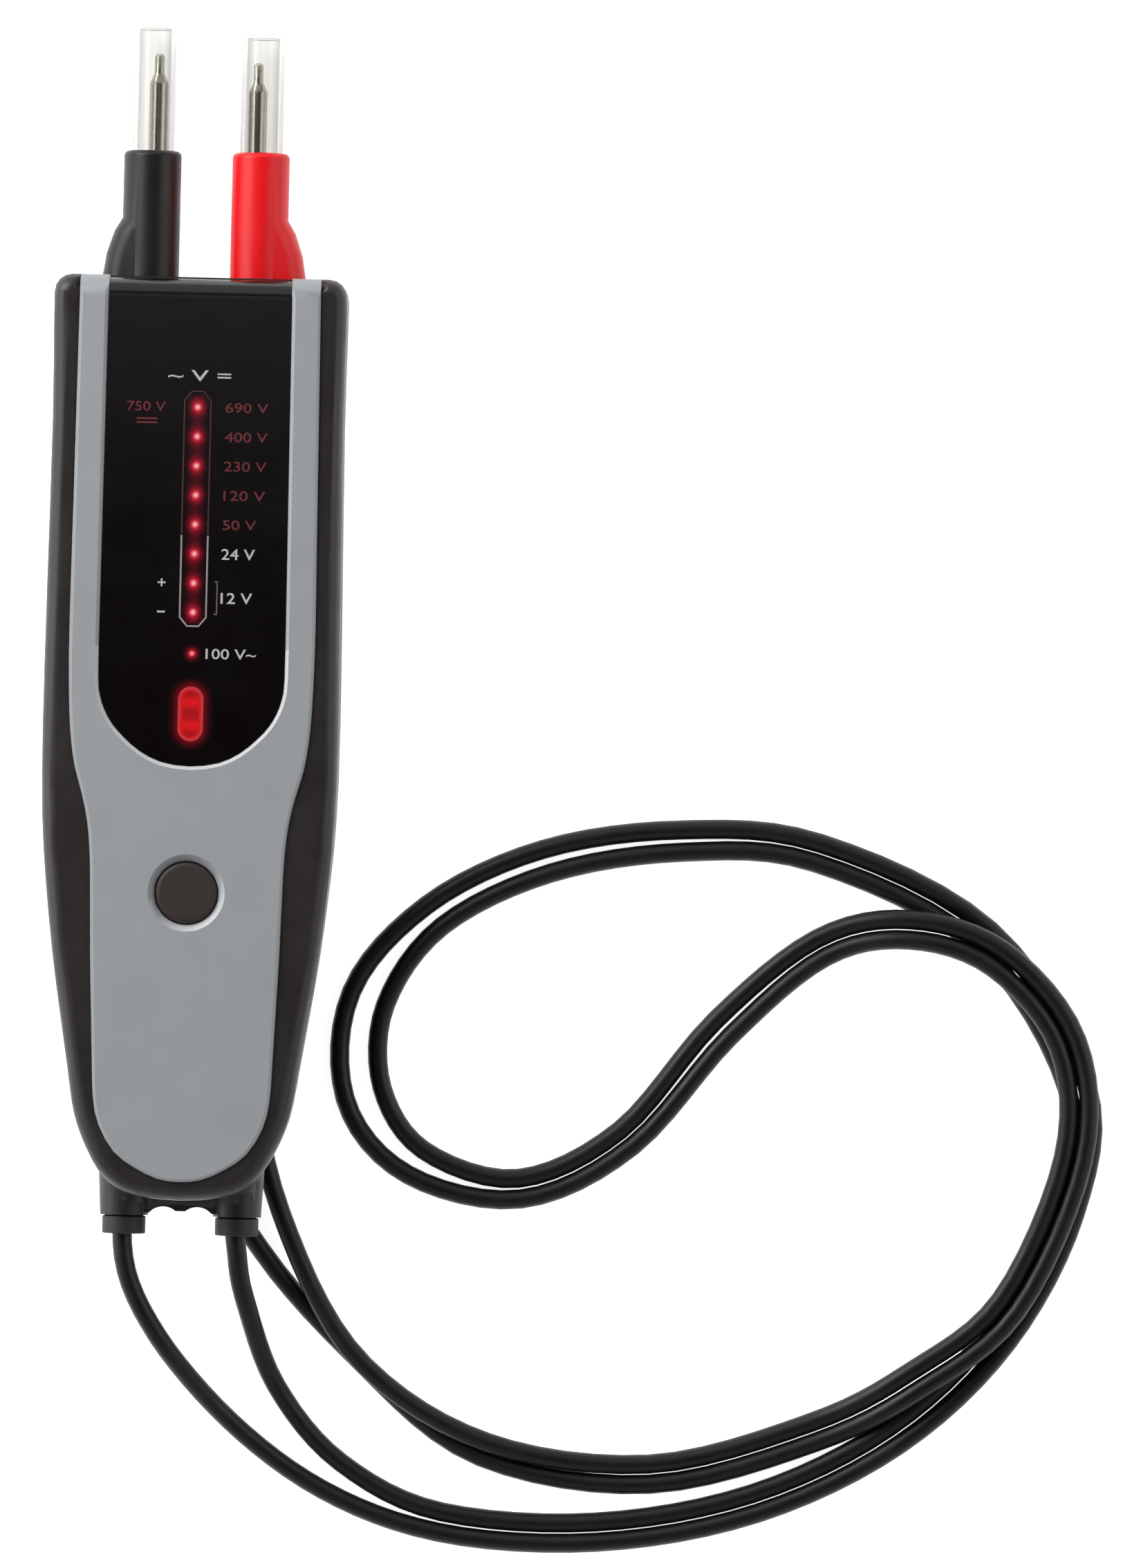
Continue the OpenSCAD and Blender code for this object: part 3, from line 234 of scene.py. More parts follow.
def build_materials(look):
    """Fills MATERIALS. A plastic's numbers are its roughness, the size of its grain in mm and its depth;
    a metal's are its roughness and the spacing of its lines in mm."""
    plastic, paint = moulded_plastic, hex_linear
    # Dark case: PC/ABS with a fine spark-eroded grain, soft broad highlights on its rounded edges
    MATERIALS["case"] = plastic("spark_grained_dark_abs", look.case_colour, 0.42, 0.45, 0.3)
    # Grey cover: smoother moulded ABS; its bevels round lens and button are glossier and carry a painted
    # highlight in the lighter edge colour
    MATERIALS["cover"] = plastic("fine_grained_grey_abs", look.cover_colour, 0.5, 0.35, 0.15, shade=0.93,
                                 edge=paint("#cdced0"))
    # Lens: smoked acrylic, polished, so that only its roll-over and a soft lamp show in it
    MATERIALS["lens"] = plastic("smoked_acrylic", look.lens_colour, 0.12, 3.0, 0.02, spread=0.02)
    # Test button: moulded elastomer, matt
    MATERIALS["button"] = plastic("moulded_elastomer", look.button_colour, 0.6, 0.4, 0.35)
    # Probe bodies: satin polyamide, one red and one black
    MATERIALS["red"] = plastic("red_polyamide", look.red_colour, 0.38, 0.6, 0.08, ior=1.42, shade=0.93)
    MATERIALS["black"] = plastic("black_polyamide", look.black_colour, 0.4, 0.6, 0.08, ior=1.42)
    # Lead jackets and boots: soft PVC and elastomer with a satin skin
    MATERIALS["jacket"] = plastic("soft_pvc_jacket", look.jacket_colour, 0.42, 0.8, 0.15, ior=1.4)
    MATERIALS["boot"] = plastic("black_elastomer", paint("#1d1a1b"), 0.55, 0.5, 0.3)
    # Tips: nickel-plated brass, turned and polished
    MATERIALS["tip"] = plated_metal("nickel_plated_brass", "#bdb8af", "#b1aca2", 0.2, 0.6, "round",
                                    depth=0.01, spread=0.02)
    # Sleeves: clear, faintly grey, rubbed a little dull by sockets
    MATERIALS["clear"] = clear_plastic("clear_polycarbonate", "#dfdfdd", "#a6a6a4", 0.03, 0.6)
    # Inner metal: zinc-plated screws, drawn springs, stamped tags and contacts, copper cores
    MATERIALS["zinc"] = plated_metal("zinc_plated_steel", "#b9bcbf", "#9a9da1", 0.32, 0.3, "X")
    MATERIALS["spring"] = plated_metal("drawn_spring_steel", "#b3b3b3", "#8a8a8a", 0.3, 0.2, "Y")
    MATERIALS["brass"] = plated_metal("stamped_brass", "#cfa857", "#a88438", 0.3, 0.4, "Z")
    MATERIALS["copper"] = plated_metal("bare_copper", "#c98455", "#a8653a", 0.32, 0.25, "Y")
    MATERIALS["contact"] = plated_metal("nickel_contact_strip", "#c6c8ca", "#a5a7aa", 0.28, 0.3, "Z")
    # Inside: lacquered board, matt epoxy and lacquered or sleeved parts
    MATERIALS["board"] = plastic("solder_mask_laminate", paint("#24683d"), 0.28, 1.2, 0.08, shade=0.7)
    MATERIALS["ic"] = plastic("epoxy_package", paint("#232326"), 0.55, 0.3, 0.25)
    MATERIALS["resistor"] = plastic("lacquered_resistor", paint("#44779f"), 0.35, 0.6, 0.12)
    MATERIALS["can"] = plastic("shrink_sleeved_can", paint("#3a4d64"), 0.3, 0.8, 0.08)
    MATERIALS["cell"] = plastic("cell_film_gold", paint("#cfa63f"), 0.25, 1.0, 0.05, coat=0.4)
    MATERIALS["foam"] = plastic("closed_cell_foam", paint("#4f4f4f"), 0.85, 0.25, 0.8)
    MATERIALS["mask"] = plastic("matt_black_abs", paint("#1f1e1f"), 0.6, 0.4, 0.3)
    MATERIALS["plunger"] = plastic("red_acetal", paint("#933030"), 0.4, 0.5, 0.1)
    MATERIALS["led"] = plastic("tinted_led_epoxy", paint("#e0485a"), 0.15, 2.0, 0.03)
    MATERIALS["red_lens"] = plastic("red_acrylic", paint("#b01019"), 0.2, 1.5, 0.05, glow=0.12)
    # Printed inks: matt, thin, slightly uneven; behind the smoke they look dim
    MATERIALS["white_ink"] = plastic("white_screen_ink", paint("#b5b3b0"), 0.6, 0.2, 0.3)
    MATERIALS["line_ink"] = plastic("pale_line_ink", paint("#8f8783"), 0.6, 0.2, 0.3)
    MATERIALS["grey_ink"] = plastic("grey_screen_ink", paint("#5c5552"), 0.6, 0.2, 0.3)
    MATERIALS["red_ink"] = plastic("red_screen_ink", paint("#5c0e17"), 0.6, 0.2, 0.3)
    MATERIALS["dim_ink"] = plastic("dim_red_line_ink", paint("#3a0a11"), 0.6, 0.2, 0.3)
    # A light behind the smoked lens: pink in the middle, red round it, then lost in the black
    MATERIALS["light"] = glowing("lit_indicators", [
        (0.0, "#f3b0b0"), (0.25, "#e0606c"), (0.5, "#b81f35"), (0.7, "#70081a"), (0.83, "#3c0410"),
        (0.9, "#1c0107"), (0.96, "#000000")], 1.0, look.lens_colour, 0.12)
    MATERIALS["haze"] = glowing("red_haze_in_smoke", [
        (0.0, "#5a050c"), (0.62, "#5a050c"), (0.8, "#240206"), (1.0, "#000000")], 1.0, look.lens_colour, 0.12)
    # The warning lamp: saturated red, a paler rim where the wall of the lens gathers the light
    MATERIALS["lamp"] = glowing("lit_warning_lamp", [
        (0.0, "#98030b"), (0.12, "#a0040c"), (0.5, "#ee0612"), (0.74, "#c00f19"), (0.88, "#cb4a50"),
        (1.0, "#a0262c")], 0.62, paint("#70060c"), 0.25)


def deselect():
    if bpy.context.object and bpy.context.object.mode != "OBJECT":
        bpy.ops.object.mode_set(mode="OBJECT")
    bpy.ops.object.select_all(action="DESELECT")


def pick(obj):
    deselect()
    obj.select_set(True)
    bpy.context.view_layer.objects.active = obj


def active():
    return bpy.context.view_layer.objects.active


def into_mesh(obj):
    """Applies an object's place, turn and size, so that it sits at the origin."""
    pick(obj)
    bpy.ops.object.transform_apply(location=True, rotation=True, scale=True)
    return obj


def use_modifier(obj, kind, **settings):
    pick(obj)
    mod = obj.modifiers.new(kind.lower(), kind)
    for key, value in settings.items():
        setattr(mod, key, value)
    bpy.ops.object.modifier_apply(modifier=mod.name)


def smooth(obj, angle=32):
    pick(obj)
    bpy.ops.object.shade_smooth_by_angle(angle=radians(angle))
    return obj


def dress(obj, key):
    obj.data.materials.clear()
    obj.data.materials.append(MATERIALS[key])


def attach(obj, name, key, body):
    """Names a finished piece, gives it its material and lets it ride on a body."""
    obj.name = name
    obj.data.name = name
    dress(obj, key)
    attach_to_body(obj, body)
    return obj


def finished_copy(node, key, bevel=0.0, angle=32, segments=2):
    """A merged copy of a CAD node with softened edges, which stands for the node."""
    mesh = NODES[node].data.copy()
    obj = bpy.data.objects.new(node + "_finish", mesh)
    bpy.context.scene.collection.objects.link(obj)
    pick(obj)
    bpy.ops.object.mode_set(mode="EDIT")
    bpy.ops.mesh.select_all(action="SELECT")
    bpy.ops.mesh.remove_doubles(threshold=0.002 * MM)
    bpy.ops.mesh.dissolve_limited(angle_limit=radians(0.4))
    bpy.ops.object.mode_set(mode="OBJECT")
    if bevel:
        use_modifier(obj, "BEVEL", width=bevel * MM, segments=segments, limit_method="ANGLE",
                     angle_limit=radians(40), use_clamp_overlap=True, miter_outer="MITER_ARC")
    smooth(obj, angle)
    use_modifier(obj, "WEIGHTED_NORMAL", keep_sharp=True, weight=50)
    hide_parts(node)
    return attach(obj, node + "_finish", key, BODY_OF[node])


# Lit plates, in mm: their thickness, the sides of a pill and the bands in which its lobes are worked out
PLATE_THICK = 0.02
PILL_SIDES = 50
LOBE_BANDS = 8
# A lobe's brightest glow and reach, and the share of the half width from which the rim's glow takes over
LOBE_GLOW, LOBE_REACH, RIM_FROM = 0.5, 1.1, 0.6
# A light behind the lens: how its brightness is shared between core and halo, and how fast each falls off
CORE_SHARE, CORE_FALL = 0.62, 12
HALO_SHARE, HALO_FALL = 0.38, 4.5
# The window between the lights: its brightness, half width and how far it runs past the outer lights
WINDOW_GLOW, WINDOW_HALF_W, WINDOW_PAST = 0.17, 1.9, 1.5
# Cells of the column's grid for each millimetre of half its size
COLUMN_CELLS = 8


def lit_plate(obj, name, y, z, glow, key, thick=PLATE_THICK):
    """Makes a flat sheet a thin plate, whose glow attribute the glow function gives at each place (mm)."""
    bpy.ops.object.mode_set(mode="EDIT")
    bpy.ops.mesh.select_all(action="SELECT")
    bpy.ops.mesh.extrude_region_move(TRANSFORM_OT_translate={"value": (0, 0, -thick * MM)})
    bpy.ops.mesh.select_all(action="SELECT")
    bpy.ops.mesh.normals_make_consistent(inside=False)
    bpy.ops.object.mode_set(mode="OBJECT")
    values = obj.data.attributes.new("glow", "FLOAT", "POINT")
    for v, item in zip(obj.data.vertices, values.data):
        item.value = glow(v.co.x / MM, v.co.y / MM)
    obj.data.transform(Matrix.Translation((0, y * MM, z)))
    attach(obj, name, key, "case")


def glow_pill(name, y, half_w, half_len, z, key, thick=PLATE_THICK, rings=7, lobe_at=None):
    """A pill-shaped lit plate: its glow runs from 0 on its middle line to 1 at its edge.

    With lobes, the glow inside the rim peaks at that distance (mm) above and below the middle."""
    deselect()
    bpy.ops.mesh.primitive_circle_add(vertices=PILL_SIDES, radius=half_w * MM, fill_type="NGON",
                                      location=(0, 0, 0))
    obj = active()
    run = half_len - half_w
    for v in obj.data.vertices:
        v.co.y += copysign(run * MM, v.co.y)
    bpy.ops.object.mode_set(mode="EDIT")
    bpy.ops.mesh.select_all(action="SELECT")
    for _ in range(rings):
        bpy.ops.mesh.inset(thickness=half_w * MM / (rings + 1), depth=0)
    for i in range(1, LOBE_BANDS if lobe_at else 0):
        bpy.ops.mesh.select_all(action="SELECT")
        bpy.ops.mesh.bisect(plane_co=(0, run * MM * (2 * i / LOBE_BANDS - 1), 0), plane_no=(0, 1, 0))
    bpy.ops.object.mode_set(mode="OBJECT")

    def glow(a, b):
        rim = min(1.0, hypot(a, max(0.0, abs(b) - run)) / half_w)
        if rim > RIM_FROM or not lobe_at:
            return rim
        return LOBE_GLOW * exp(-((abs(b) - lobe_at) / LOBE_REACH) ** 2)

    lit_plate(obj, name, y, z, glow, key, thick)


def glow_column(name, rows, spot, half_w, z, key):
    """A lit plate over a column of lights (y in mm): each fades out softly, and the window glows faintly."""
    low, high = min(rows) - half_w, max(rows) + half_w
    middle, half_len = (low + high) / 2, (high - low) / 2
    window_low, window_high = rows[-2] - WINDOW_PAST, rows[0] + WINDOW_PAST

    def glow(x, y):
        y += middle
        away = min(hypot(x, y - row) for row in rows)
        past = max(0.0, window_low - y, y - window_high)
        shine = (CORE_SHARE * exp(-(CORE_FALL * away / spot) ** 2)
                 + HALO_SHARE * exp(-(HALO_FALL * away / spot) ** 2))
        return 1 - min(1.0, shine + WINDOW_GLOW * exp(-(x / WINDOW_HALF_W) ** 2 - past ** 2))

    deselect()
    bpy.ops.mesh.primitive_grid_add(x_subdivisions=round(COLUMN_CELLS * half_w),
                                    y_subdivisions=round(COLUMN_CELLS * half_len), size=2, location=(0, 0, 0))
    obj = active()
    obj.data.transform(Matrix.Diagonal((half_w * MM, half_len * MM, 1, 1)))
    lit_plate(obj, name, middle, z, glow, key)


# Thickness of a printed line, and how deep printed figures stand in the lens, in mm
INK_THICK = 0.04
INK_SUNK = 0.01


def printed_line(name, points, width, key):
    """A printed line on the lens: a run of points (x, y in mm) drawn as a flattened strip."""
    curve = bpy.data.curves.new(name, "CURVE")
    curve.dimensions = "3D"
    curve.bevel_depth = width * MM / 2
    curve.bevel_resolution = 1
    curve.use_fill_caps = True
    spline = curve.splines.new("POLY")
    spline.points.add(len(points) - 1)
    for p, (x, y) in zip(spline.points, points):
        p.co = (x * MM, y * MM, 0.0, 1.0)
    obj = bpy.data.objects.new(name, curve)
    bpy.context.scene.collection.objects.link(obj)
    pick(obj)
    bpy.ops.object.convert(target="MESH")
    obj = active()
    obj.data.transform(Matrix.Translation((0, 0, LENS_Z)) @ Matrix.Diagonal((1, 1, INK_THICK / width, 1)))
    obj.data.update()
    attach(obj, name, key, "case")


def printed_text(name, words, x, y, height, key, width=None, left=True):
    """Flat printed figures: text made into a mesh and fitted to a height and width (mm) on the lens.

    Its left end is at x, or its middle where left is False."""
    deselect()
    bpy.ops.object.text_add(location=(0, 0, 0))
    obj = active()
    obj.data.body = words
    obj.data.align_x = "LEFT" if left else "CENTER"
    obj.data.align_y = "CENTER"
    obj.data.resolution_u = 3
    # Shares of the letter size: half the thickness, and how much the strokes are fattened
    obj.data.extrude = 0.004
    obj.data.offset = 0.008
    obj.data.size = 1.0
    bpy.ops.object.convert(target="MESH")
    obj = active()
    points = [v.co for v in obj.data.vertices]
    low = [min(p[i] for p in points) for i in range(3)]
    high = [max(p[i] for p in points) for i in range(3)]
    tall = height * MM / (high[1] - low[1])
    wide = tall if width is None else width * MM / (high[0] - low[0])
    middle = ((low[0] if left else (low[0] + high[0]) / 2), (low[1] + high[1]) / 2, low[2])
    obj.data.transform(Matrix.Translation((x * MM, y * MM, LENS_Z - INK_SUNK * MM))
                       @ Matrix.Diagonal((wide, tall, tall, 1))
                       @ Matrix.Translation(-Vector(middle)))
    obj.data.update()
    attach(obj, name, key, "case")


def shown_colour(name, description, code):
    return bpy.props.FloatVectorProperty(name=name, description=description, default=hex_linear(code),
                                         subtype="COLOR", size=4, min=0.0, max=1.0)


def shown_length(name, description, value):
    return bpy.props.FloatProperty(name=name, description=description, default=value, subtype="DISTANCE",
                                   unit="LENGTH")


class TesterSizes(bpy.types.PropertyGroup):
    """Sizes and colours that a user would change"""
    spot_size: shown_length("Light spot", "Diameter of the lit spot of an indicator, with its haze", 0.0062)
    line_width: shown_length("Printed line", "Width of the printed outline round the lights", 0.00046)
    figure_height: shown_length("Figure height", "Height of the printed volt figures", 0.0019)
    camera_height: shown_length("Camera height", "Distance of the camera above the table", 2.731)
    case_colour: shown_colour("Case", "Dark colour of both shells", "#1d1817")
    cover_colour: shown_colour("Cover", "Grey of the front cover", "#929599")
    lens_colour: shown_colour("Lens", "Black of the smoked lens", "#070304")
    button_colour: shown_colour("Button", "Colour of the test button", "#241a16")
    red_colour: shown_colour("Red probe", "Colour of the red probe", "#e2020f")
    black_colour: shown_colour("Black probe", "Colour of the black probe", "#100c09")
    jacket_colour: shown_colour("Leads", "Colour of the lead jackets", "#0a0706")


class TESTER_OT_case(bpy.types.Operator):
    """Both case shells, the gasket between them and the screws"""
    bl_idname = "tester.case"
    bl_label = "Case"

    def execute(self, context):
        finished_copy("front_shell", "case")
        finished_copy("rear_case", "case")
        finished_copy("case_gasket", "foam")
        finished_copy("case_screws", "zinc", 0.12)
        finished_copy("left_lead_boot", "boot", 0.35, segments=3)
        finished_copy("right_lead_boot", "boot", 0.35, segments=3)
        return {"FINISHED"}


class TESTER_OT_front(bpy.types.Operator):
    """Grey cover and smoked lens"""
    bl_idname = "tester.front"
    bl_label = "Cover and lens"

    # How far a bevel faces up, and how far the roll-over and the button's recess reach
    bevel_up = (0.25, 0.97)
    roll_over, recess = 6 * MM, 9 * MM
    # From the lens's lower end: the middle of its round part, where its straight sides begin, and the margin
    arch, straight, margin = 20 * MM, 25 * MM, 2 * MM
    # How strongly the lens's straight sides and its round lower end get gloss and the painted highlight
    side_polish, round_polish = 0.12, 0.7
    # The side that the recess's bevel turns to the light, as x and y of its normal; the bevel is painted
    # lighter where it faces that way, a painted highlight
    lit_side = (-0.6, 0.8)

    def execute(self, context):
        cover = finished_copy("front_cover", "cover", angle=25)
        finished_copy("display_lens", "lens", angle=25)
        # Bevels that look inwards, round the lens and round the button, get gloss and a painted highlight
        polish = cover.data.attributes.new("polish", "FLOAT", "FACE")
        button_y = (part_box("test_button")[0][1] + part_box("test_button")[1][1]) / 2
        end = LENS_LOW[1]
        for face, item in zip(cover.data.polygons, polish.data):
            n, c = face.normal, face.center
            if not self.bevel_up[0] < n.z < self.bevel_up[1] or c.y > TOP_Y - self.roll_over:
                continue
            inward = n.x * c.x
            if c.y <= end + self.arch:
                inward += n.y * (c.y - end - self.arch)
            # Round the button, the painted highlight falls only on the bevel's side that faces the light
            if Vector((c.x, c.y - button_y)).length < self.recess:
                item.value = max(0.0, self.lit_side[1] * n.y + self.lit_side[0] * n.x)
            # Round the lens, its inward bevels get the painted highlight, strongest round its lower end
            elif inward < 0 and c.y > end - self.margin:
                item.value = self.side_polish if c.y > end + self.straight else self.round_polish
        return {"FINISHED"}


# Distance of each light from the case's top end, in mm: the eight of the column, then the single one below
FIRST_LIGHT, LIGHT_PITCH, SINGLE_LIGHT = 25, 5.58, 71.9
LIGHTS = [FIRST_LIGHT + LIGHT_PITCH * i for i in range(8)] + [SINGLE_LIGHT]


class TESTER_OT_lights(bpy.types.Operator):
    """The column of indicators as it shines through the lens, and the lights behind it"""
    bl_idname = "tester.lights"
    bl_label = "Indicator lights"

    # Half the width of the lit plate and its height above the lens, in mm
    half_w, above = 3.4, 0.01

    def execute(self, context):
        top = TOP_Y / MM
        glow_column("indicator_glow", [top - down for down in LIGHTS],
                    context.scene.tester_sizes.spot_size / MM, self.half_w, LENS_Z + self.above * MM, "light")
        for node in ("indicator_leds", "lamp_leds"):
            finished_copy(node, "led")
        return {"FINISHED"}


class TESTER_OT_legend(bpy.types.Operator):
    """Printed outline round the lights and printed volt figures"""
    bl_idname = "tester.legend"
    bl_label = "Legend"

    def execute(self, context):
        sizes = context.scene.tester_sizes
        top = TOP_Y / MM
        high = sizes.figure_height / MM
        line = sizes.line_width / MM
        thin, gap = line * 0.8, 0.3
        # The outline: half its width, the cut of its corners, its upper end, change of colour and lower end
        half, cut_x, cut_y = 2.5, 1.4, 1.7
        start, split, end = top - 22.0, top - 49.4, top - 66.7
        for name, near, far, width, key in (("outline_upper", split + gap, start, thin, "dim_ink"),
                                            ("outline_lower", split, end, line, "line_ink")):
            way = 1 if far > near else -1
            run = [(-half, near), (-half, far - way * cut_y), (-half + cut_x, far), (half - cut_x, far),
                   (half, far - way * cut_y), (half, near)]
            printed_line(name, run, width, key)
        # The figures beside the lights, each with its width in mm
        column = 5.25
        figures = (("690 V", 8.2), ("400 V", 8.2), ("230 V", 8.1), ("120 V", 8.0), ("50 V", 6.4))
        for i, (words, width) in enumerate(figures):
            printed_text("figure_%d" % (i + 1), words, column, top - LIGHTS[i], high, "red_ink", width=width)
        printed_text("figure_6", "24 V", 5.15, top - LIGHTS[5], high * 1.1, "white_ink", width=6.4)
        printed_text("figure_7", "12 V", 5.2, top - (LIGHTS[6] + LIGHTS[7]) / 2, high * 1.1, "white_ink",
                     width=6.0)
        upper, lower = top - LIGHTS[6] + gap, top - LIGHTS[7] - gap
        printed_line("figure_bracket", [(4.0, upper), (4.5, upper), (4.5, lower), (4.0, lower)], thin,
                     "grey_ink")
        sign_x, sign_size, stroke = -6.1, 1.5, 0.35
        printed_text("sign_plus", "+", sign_x, top - LIGHTS[6], sign_size, "white_ink", left=False)
        printed_text("sign_minus", "-", sign_x, top - LIGHTS[7], stroke, "white_ink", width=sign_size,
                     left=False)
        printed_text("figure_left", "750 V", -13.5, top - LIGHTS[0], high, "red_ink", width=7.4)
        printed_text("sign_left", "=", -11.6, top - LIGHTS[0] - 2.7, 1.1, "red_ink", width=4.0)
        printed_text("signs_top", "~ V =", 0.2, top - 19.0, 2.1, "white_ink", width=12.0, left=False)
        printed_text("figure_single", "100 V~", 2.6, top - LIGHTS[8], high * 1.05, "white_ink", width=9.6)
        return {"FINISHED"}


class TESTER_OT_lamp(bpy.types.Operator):
    """Pill-shaped warning lamp, its lit face and the red haze round it"""
    bl_idname = "tester.lamp"
    bl_label = "Warning lamp"

    # In mm, haze and lit face: half the width and length, and the height above the lens or the lamp
    haze_half, haze_above = (4.4, 7.2), 0.008
    face_half, face_above = (2.45, 5.25), 0.05
    face_thick, face_rings, face_lobes = 0.06, 9, 2.2

    def execute(self, context):
        low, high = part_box("lamp_lens")
        finished_copy("lamp_lens", "red_lens", 0.3, segments=3)
        middle = (low[1] + high[1]) / 2 / MM
        glow_pill("lamp_haze", middle, *self.haze_half, LENS_Z + self.haze_above * MM, "haze")
        glow_pill("lamp_face", middle, *self.face_half, high[2] + self.face_above * MM, "lamp",
                  self.face_thick, self.face_rings, self.face_lobes)
        return {"FINISHED"}


class TESTER_OT_button(bpy.types.Operator):
    """Test button and its switch"""
    bl_idname = "tester.button"
    bl_label = "Test button"

    def execute(self, context):
        finished_copy("test_button", "button", angle=40)
        finished_copy("switch_plunger", "plunger", 0.2)
        finished_copy("button_switch", "ic", 0.15)
        return {"FINISHED"}


class TESTER_OT_probes(bpy.types.Operator):
    """Probe bodies, tips, sleeves, springs and strain reliefs"""
    bl_idname = "tester.probes"
    bl_label = "Probes"

    # The spring: radius of its wire and of its coil in mm, its turns and the steps of each
    wire_r, coil_r, turns, turn_steps = 0.3, 4.0, 8, 24

    def execute(self, context):
        for colour in ("black", "red"):
            finished_copy(colour + "_probe_body", colour, angle=45)
            finished_copy(colour + "_probe_tip", "tip", angle=30)
            finished_copy(colour + "_tip_sleeve", "clear", angle=40)
            finished_copy(colour + "_probe_core", "copper", 0.1)
            finished_copy(colour + "_probe_boot", "boot", 0.15)
            self.spring(colour)
        return {"FINISHED"}

    def spring(self, colour):
        """Round wire wound into a compression spring, flattened with its sleeve"""
        node = colour + "_sleeve_spring"
        low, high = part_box(node)
        x, z = (low[0] + high[0]) / 2, (low[2] + high[2]) / 2
        deselect()
        bpy.ops.mesh.primitive_circle_add(vertices=10, radius=self.wire_r * MM,
                                          location=(self.coil_r * MM, 0, 0), rotation=(radians(90), 0, 0))
        obj = into_mesh(active())
        steps = self.turns * self.turn_steps
        use_modifier(obj, "SCREW", axis="Z", angle=2 * pi * self.turns,
                     screw_offset=high[1] - low[1] - 2 * self.wire_r * MM, steps=steps, render_steps=steps,
                     use_merge_vertices=False)
        obj.data.transform(Matrix.Translation((x, low[1] + self.wire_r * MM, z))
                           @ Matrix.Rotation(radians(-90), 4, "X"))
        pick(obj)
        bpy.ops.object.mode_set(mode="EDIT")
        bpy.ops.mesh.select_all(action="DESELECT")
        bpy.ops.mesh.select_non_manifold()
        bpy.ops.mesh.edge_face_add()
        bpy.ops.mesh.select_all(action="SELECT")
        bpy.ops.mesh.normals_make_consistent(inside=False)
        bpy.ops.object.mode_set(mode="OBJECT")
        smooth(obj, 60)
        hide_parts(node)
        attach(obj, node + "_wire", "spring", colour + "_probe")
        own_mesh(obj)


# The route of the pair of leads, the same rows as in the part's source: x, y, height, half the distance
# between the two and, where they cross, how far the red lead is lifted over the black one, in mm
PAIR_ROUTE = [
    (0, -96, 15, 10.8), (0, -107, 15, 10.8), (0, -118.5, 15, 10.8), (4.3, -131.2, 12.9, 9.1),
    (14.5, -147.9, 4.4, 5.6), (29.9, -161.7, 1.9, 3.15), (51, -170.1, 1.9, 2), (81.1, -171.3, 1.9, 1.95),
    (111.3, -165.1, 1.9, 1.95), (137.8, -151.5, 1.9, 1.95), (157.6, -131.9, 1.9, 1.95),
    (169.8, -107.3, 1.9, 1.95), (171.4, -83.3, 1.9, 1.95), (152.8, -55.2, 1.9, 1.95),
    (120.6, -39.7, 1.9, 1.95), (94.5, -38, 1.9, 2.15), (68.5, -42.5, 1.9, 2.4), (47.1, -53.5, 1.9, 2.5),
    (34.8, -69.7, 1.9, 3.5), (34.3, -87.9, 1.9, 3.7), (44.6, -101, 1.9, 2.8), (64.8, -105.6, 1.9, 2),
    (85, -95.4, 1.9, 1.95), (103, -73.9, 1.9, 2.1), (121.6, -57.9, 2.2, 1.95), (138.5, -54, 5.4, 1.95),
    (155.6, -59.2, 6, 1.95), (169.3, -75.2, 6, 1.95), (170.9, -97.3, 6, 1.95), (159.2, -125.7, 6, 1.95),
    (141.3, -140.7, 6, 1.95), (122.1, -151.2, 1.9, 1.95), (91, -159.9, 1.9, 1.95, 0.3),
    (59.1, -155.9, 1.9, 1.6, 2.5), (35.7, -140.2, 1.9, 0.1, 4.3), (18, -117, 1.9, 3.1, 1.8),
    (6, -88, 1.9, 7.2), (0, -40, 1.9, 10.4), (0, -24, 6.5, 10.4), (0, 2, 6.5, 10.4),
]
LEAD_R = 1.9


def slope(a, b, c):
    """Slope at b of a curve that doesn't run over it, 0 where the values turn."""
    return 2 * (b - a) * (c - b) / (c - a) if (b - a) * (c - b) > 0 else 0.0


def curve_between(a, b, c, d, t):
    """A smooth curve from b to c, which a and d lead on to."""
    return 0.5 * (2 * b + (c - a) * t + (2 * a - 5 * b + 4 * c - d) * t * t
                  + (3 * b - a - 3 * c + d) * t ** 3)


def glide_between(a, b, c, d, t):
    """Like the curve, without running over b or c."""
    return (b + (c - b) * t * t * (3 - 2 * t) + slope(a, b, c) * t * (1 - t) ** 2
            - slope(b, c, d) * t * t * (1 - t))


def route_point(i, t):
    """The route's five values at a share t of the way from row i to the next; its plan may swing out."""
    rows = [PAIR_ROUTE[min(max(i + k, 0), len(PAIR_ROUTE) - 1)] for k in (-1, 0, 1, 2)]
    rows = [row + (0,) * (5 - len(row)) for row in rows]
    return [(curve_between if k < 2 else glide_between)(*[row[k] for row in rows], t) for k in range(5)]


def lead_points(side, steps=6):
    """The middle line of one lead in metres: side 1 is the red one, -1 the black one."""
    middle = [route_point(i, k / steps) for i in range(len(PAIR_ROUTE) - 1) for k in range(steps)]
    middle.append(route_point(len(PAIR_ROUTE) - 1, 0))
    points = []
    for i, m in enumerate(middle):
        a, b = middle[max(i - 1, 0)], middle[min(i + 1, len(middle) - 1)]
        h = Vector((b[0] - a[0], b[1] - a[1])).normalized()
        points.append(((m[0] + side * m[3] * h[1]) * MM, (m[1] - side * m[3] * h[0]) * MM,
                       (m[2] + max(side, 0) * m[4]) * MM))
    return points


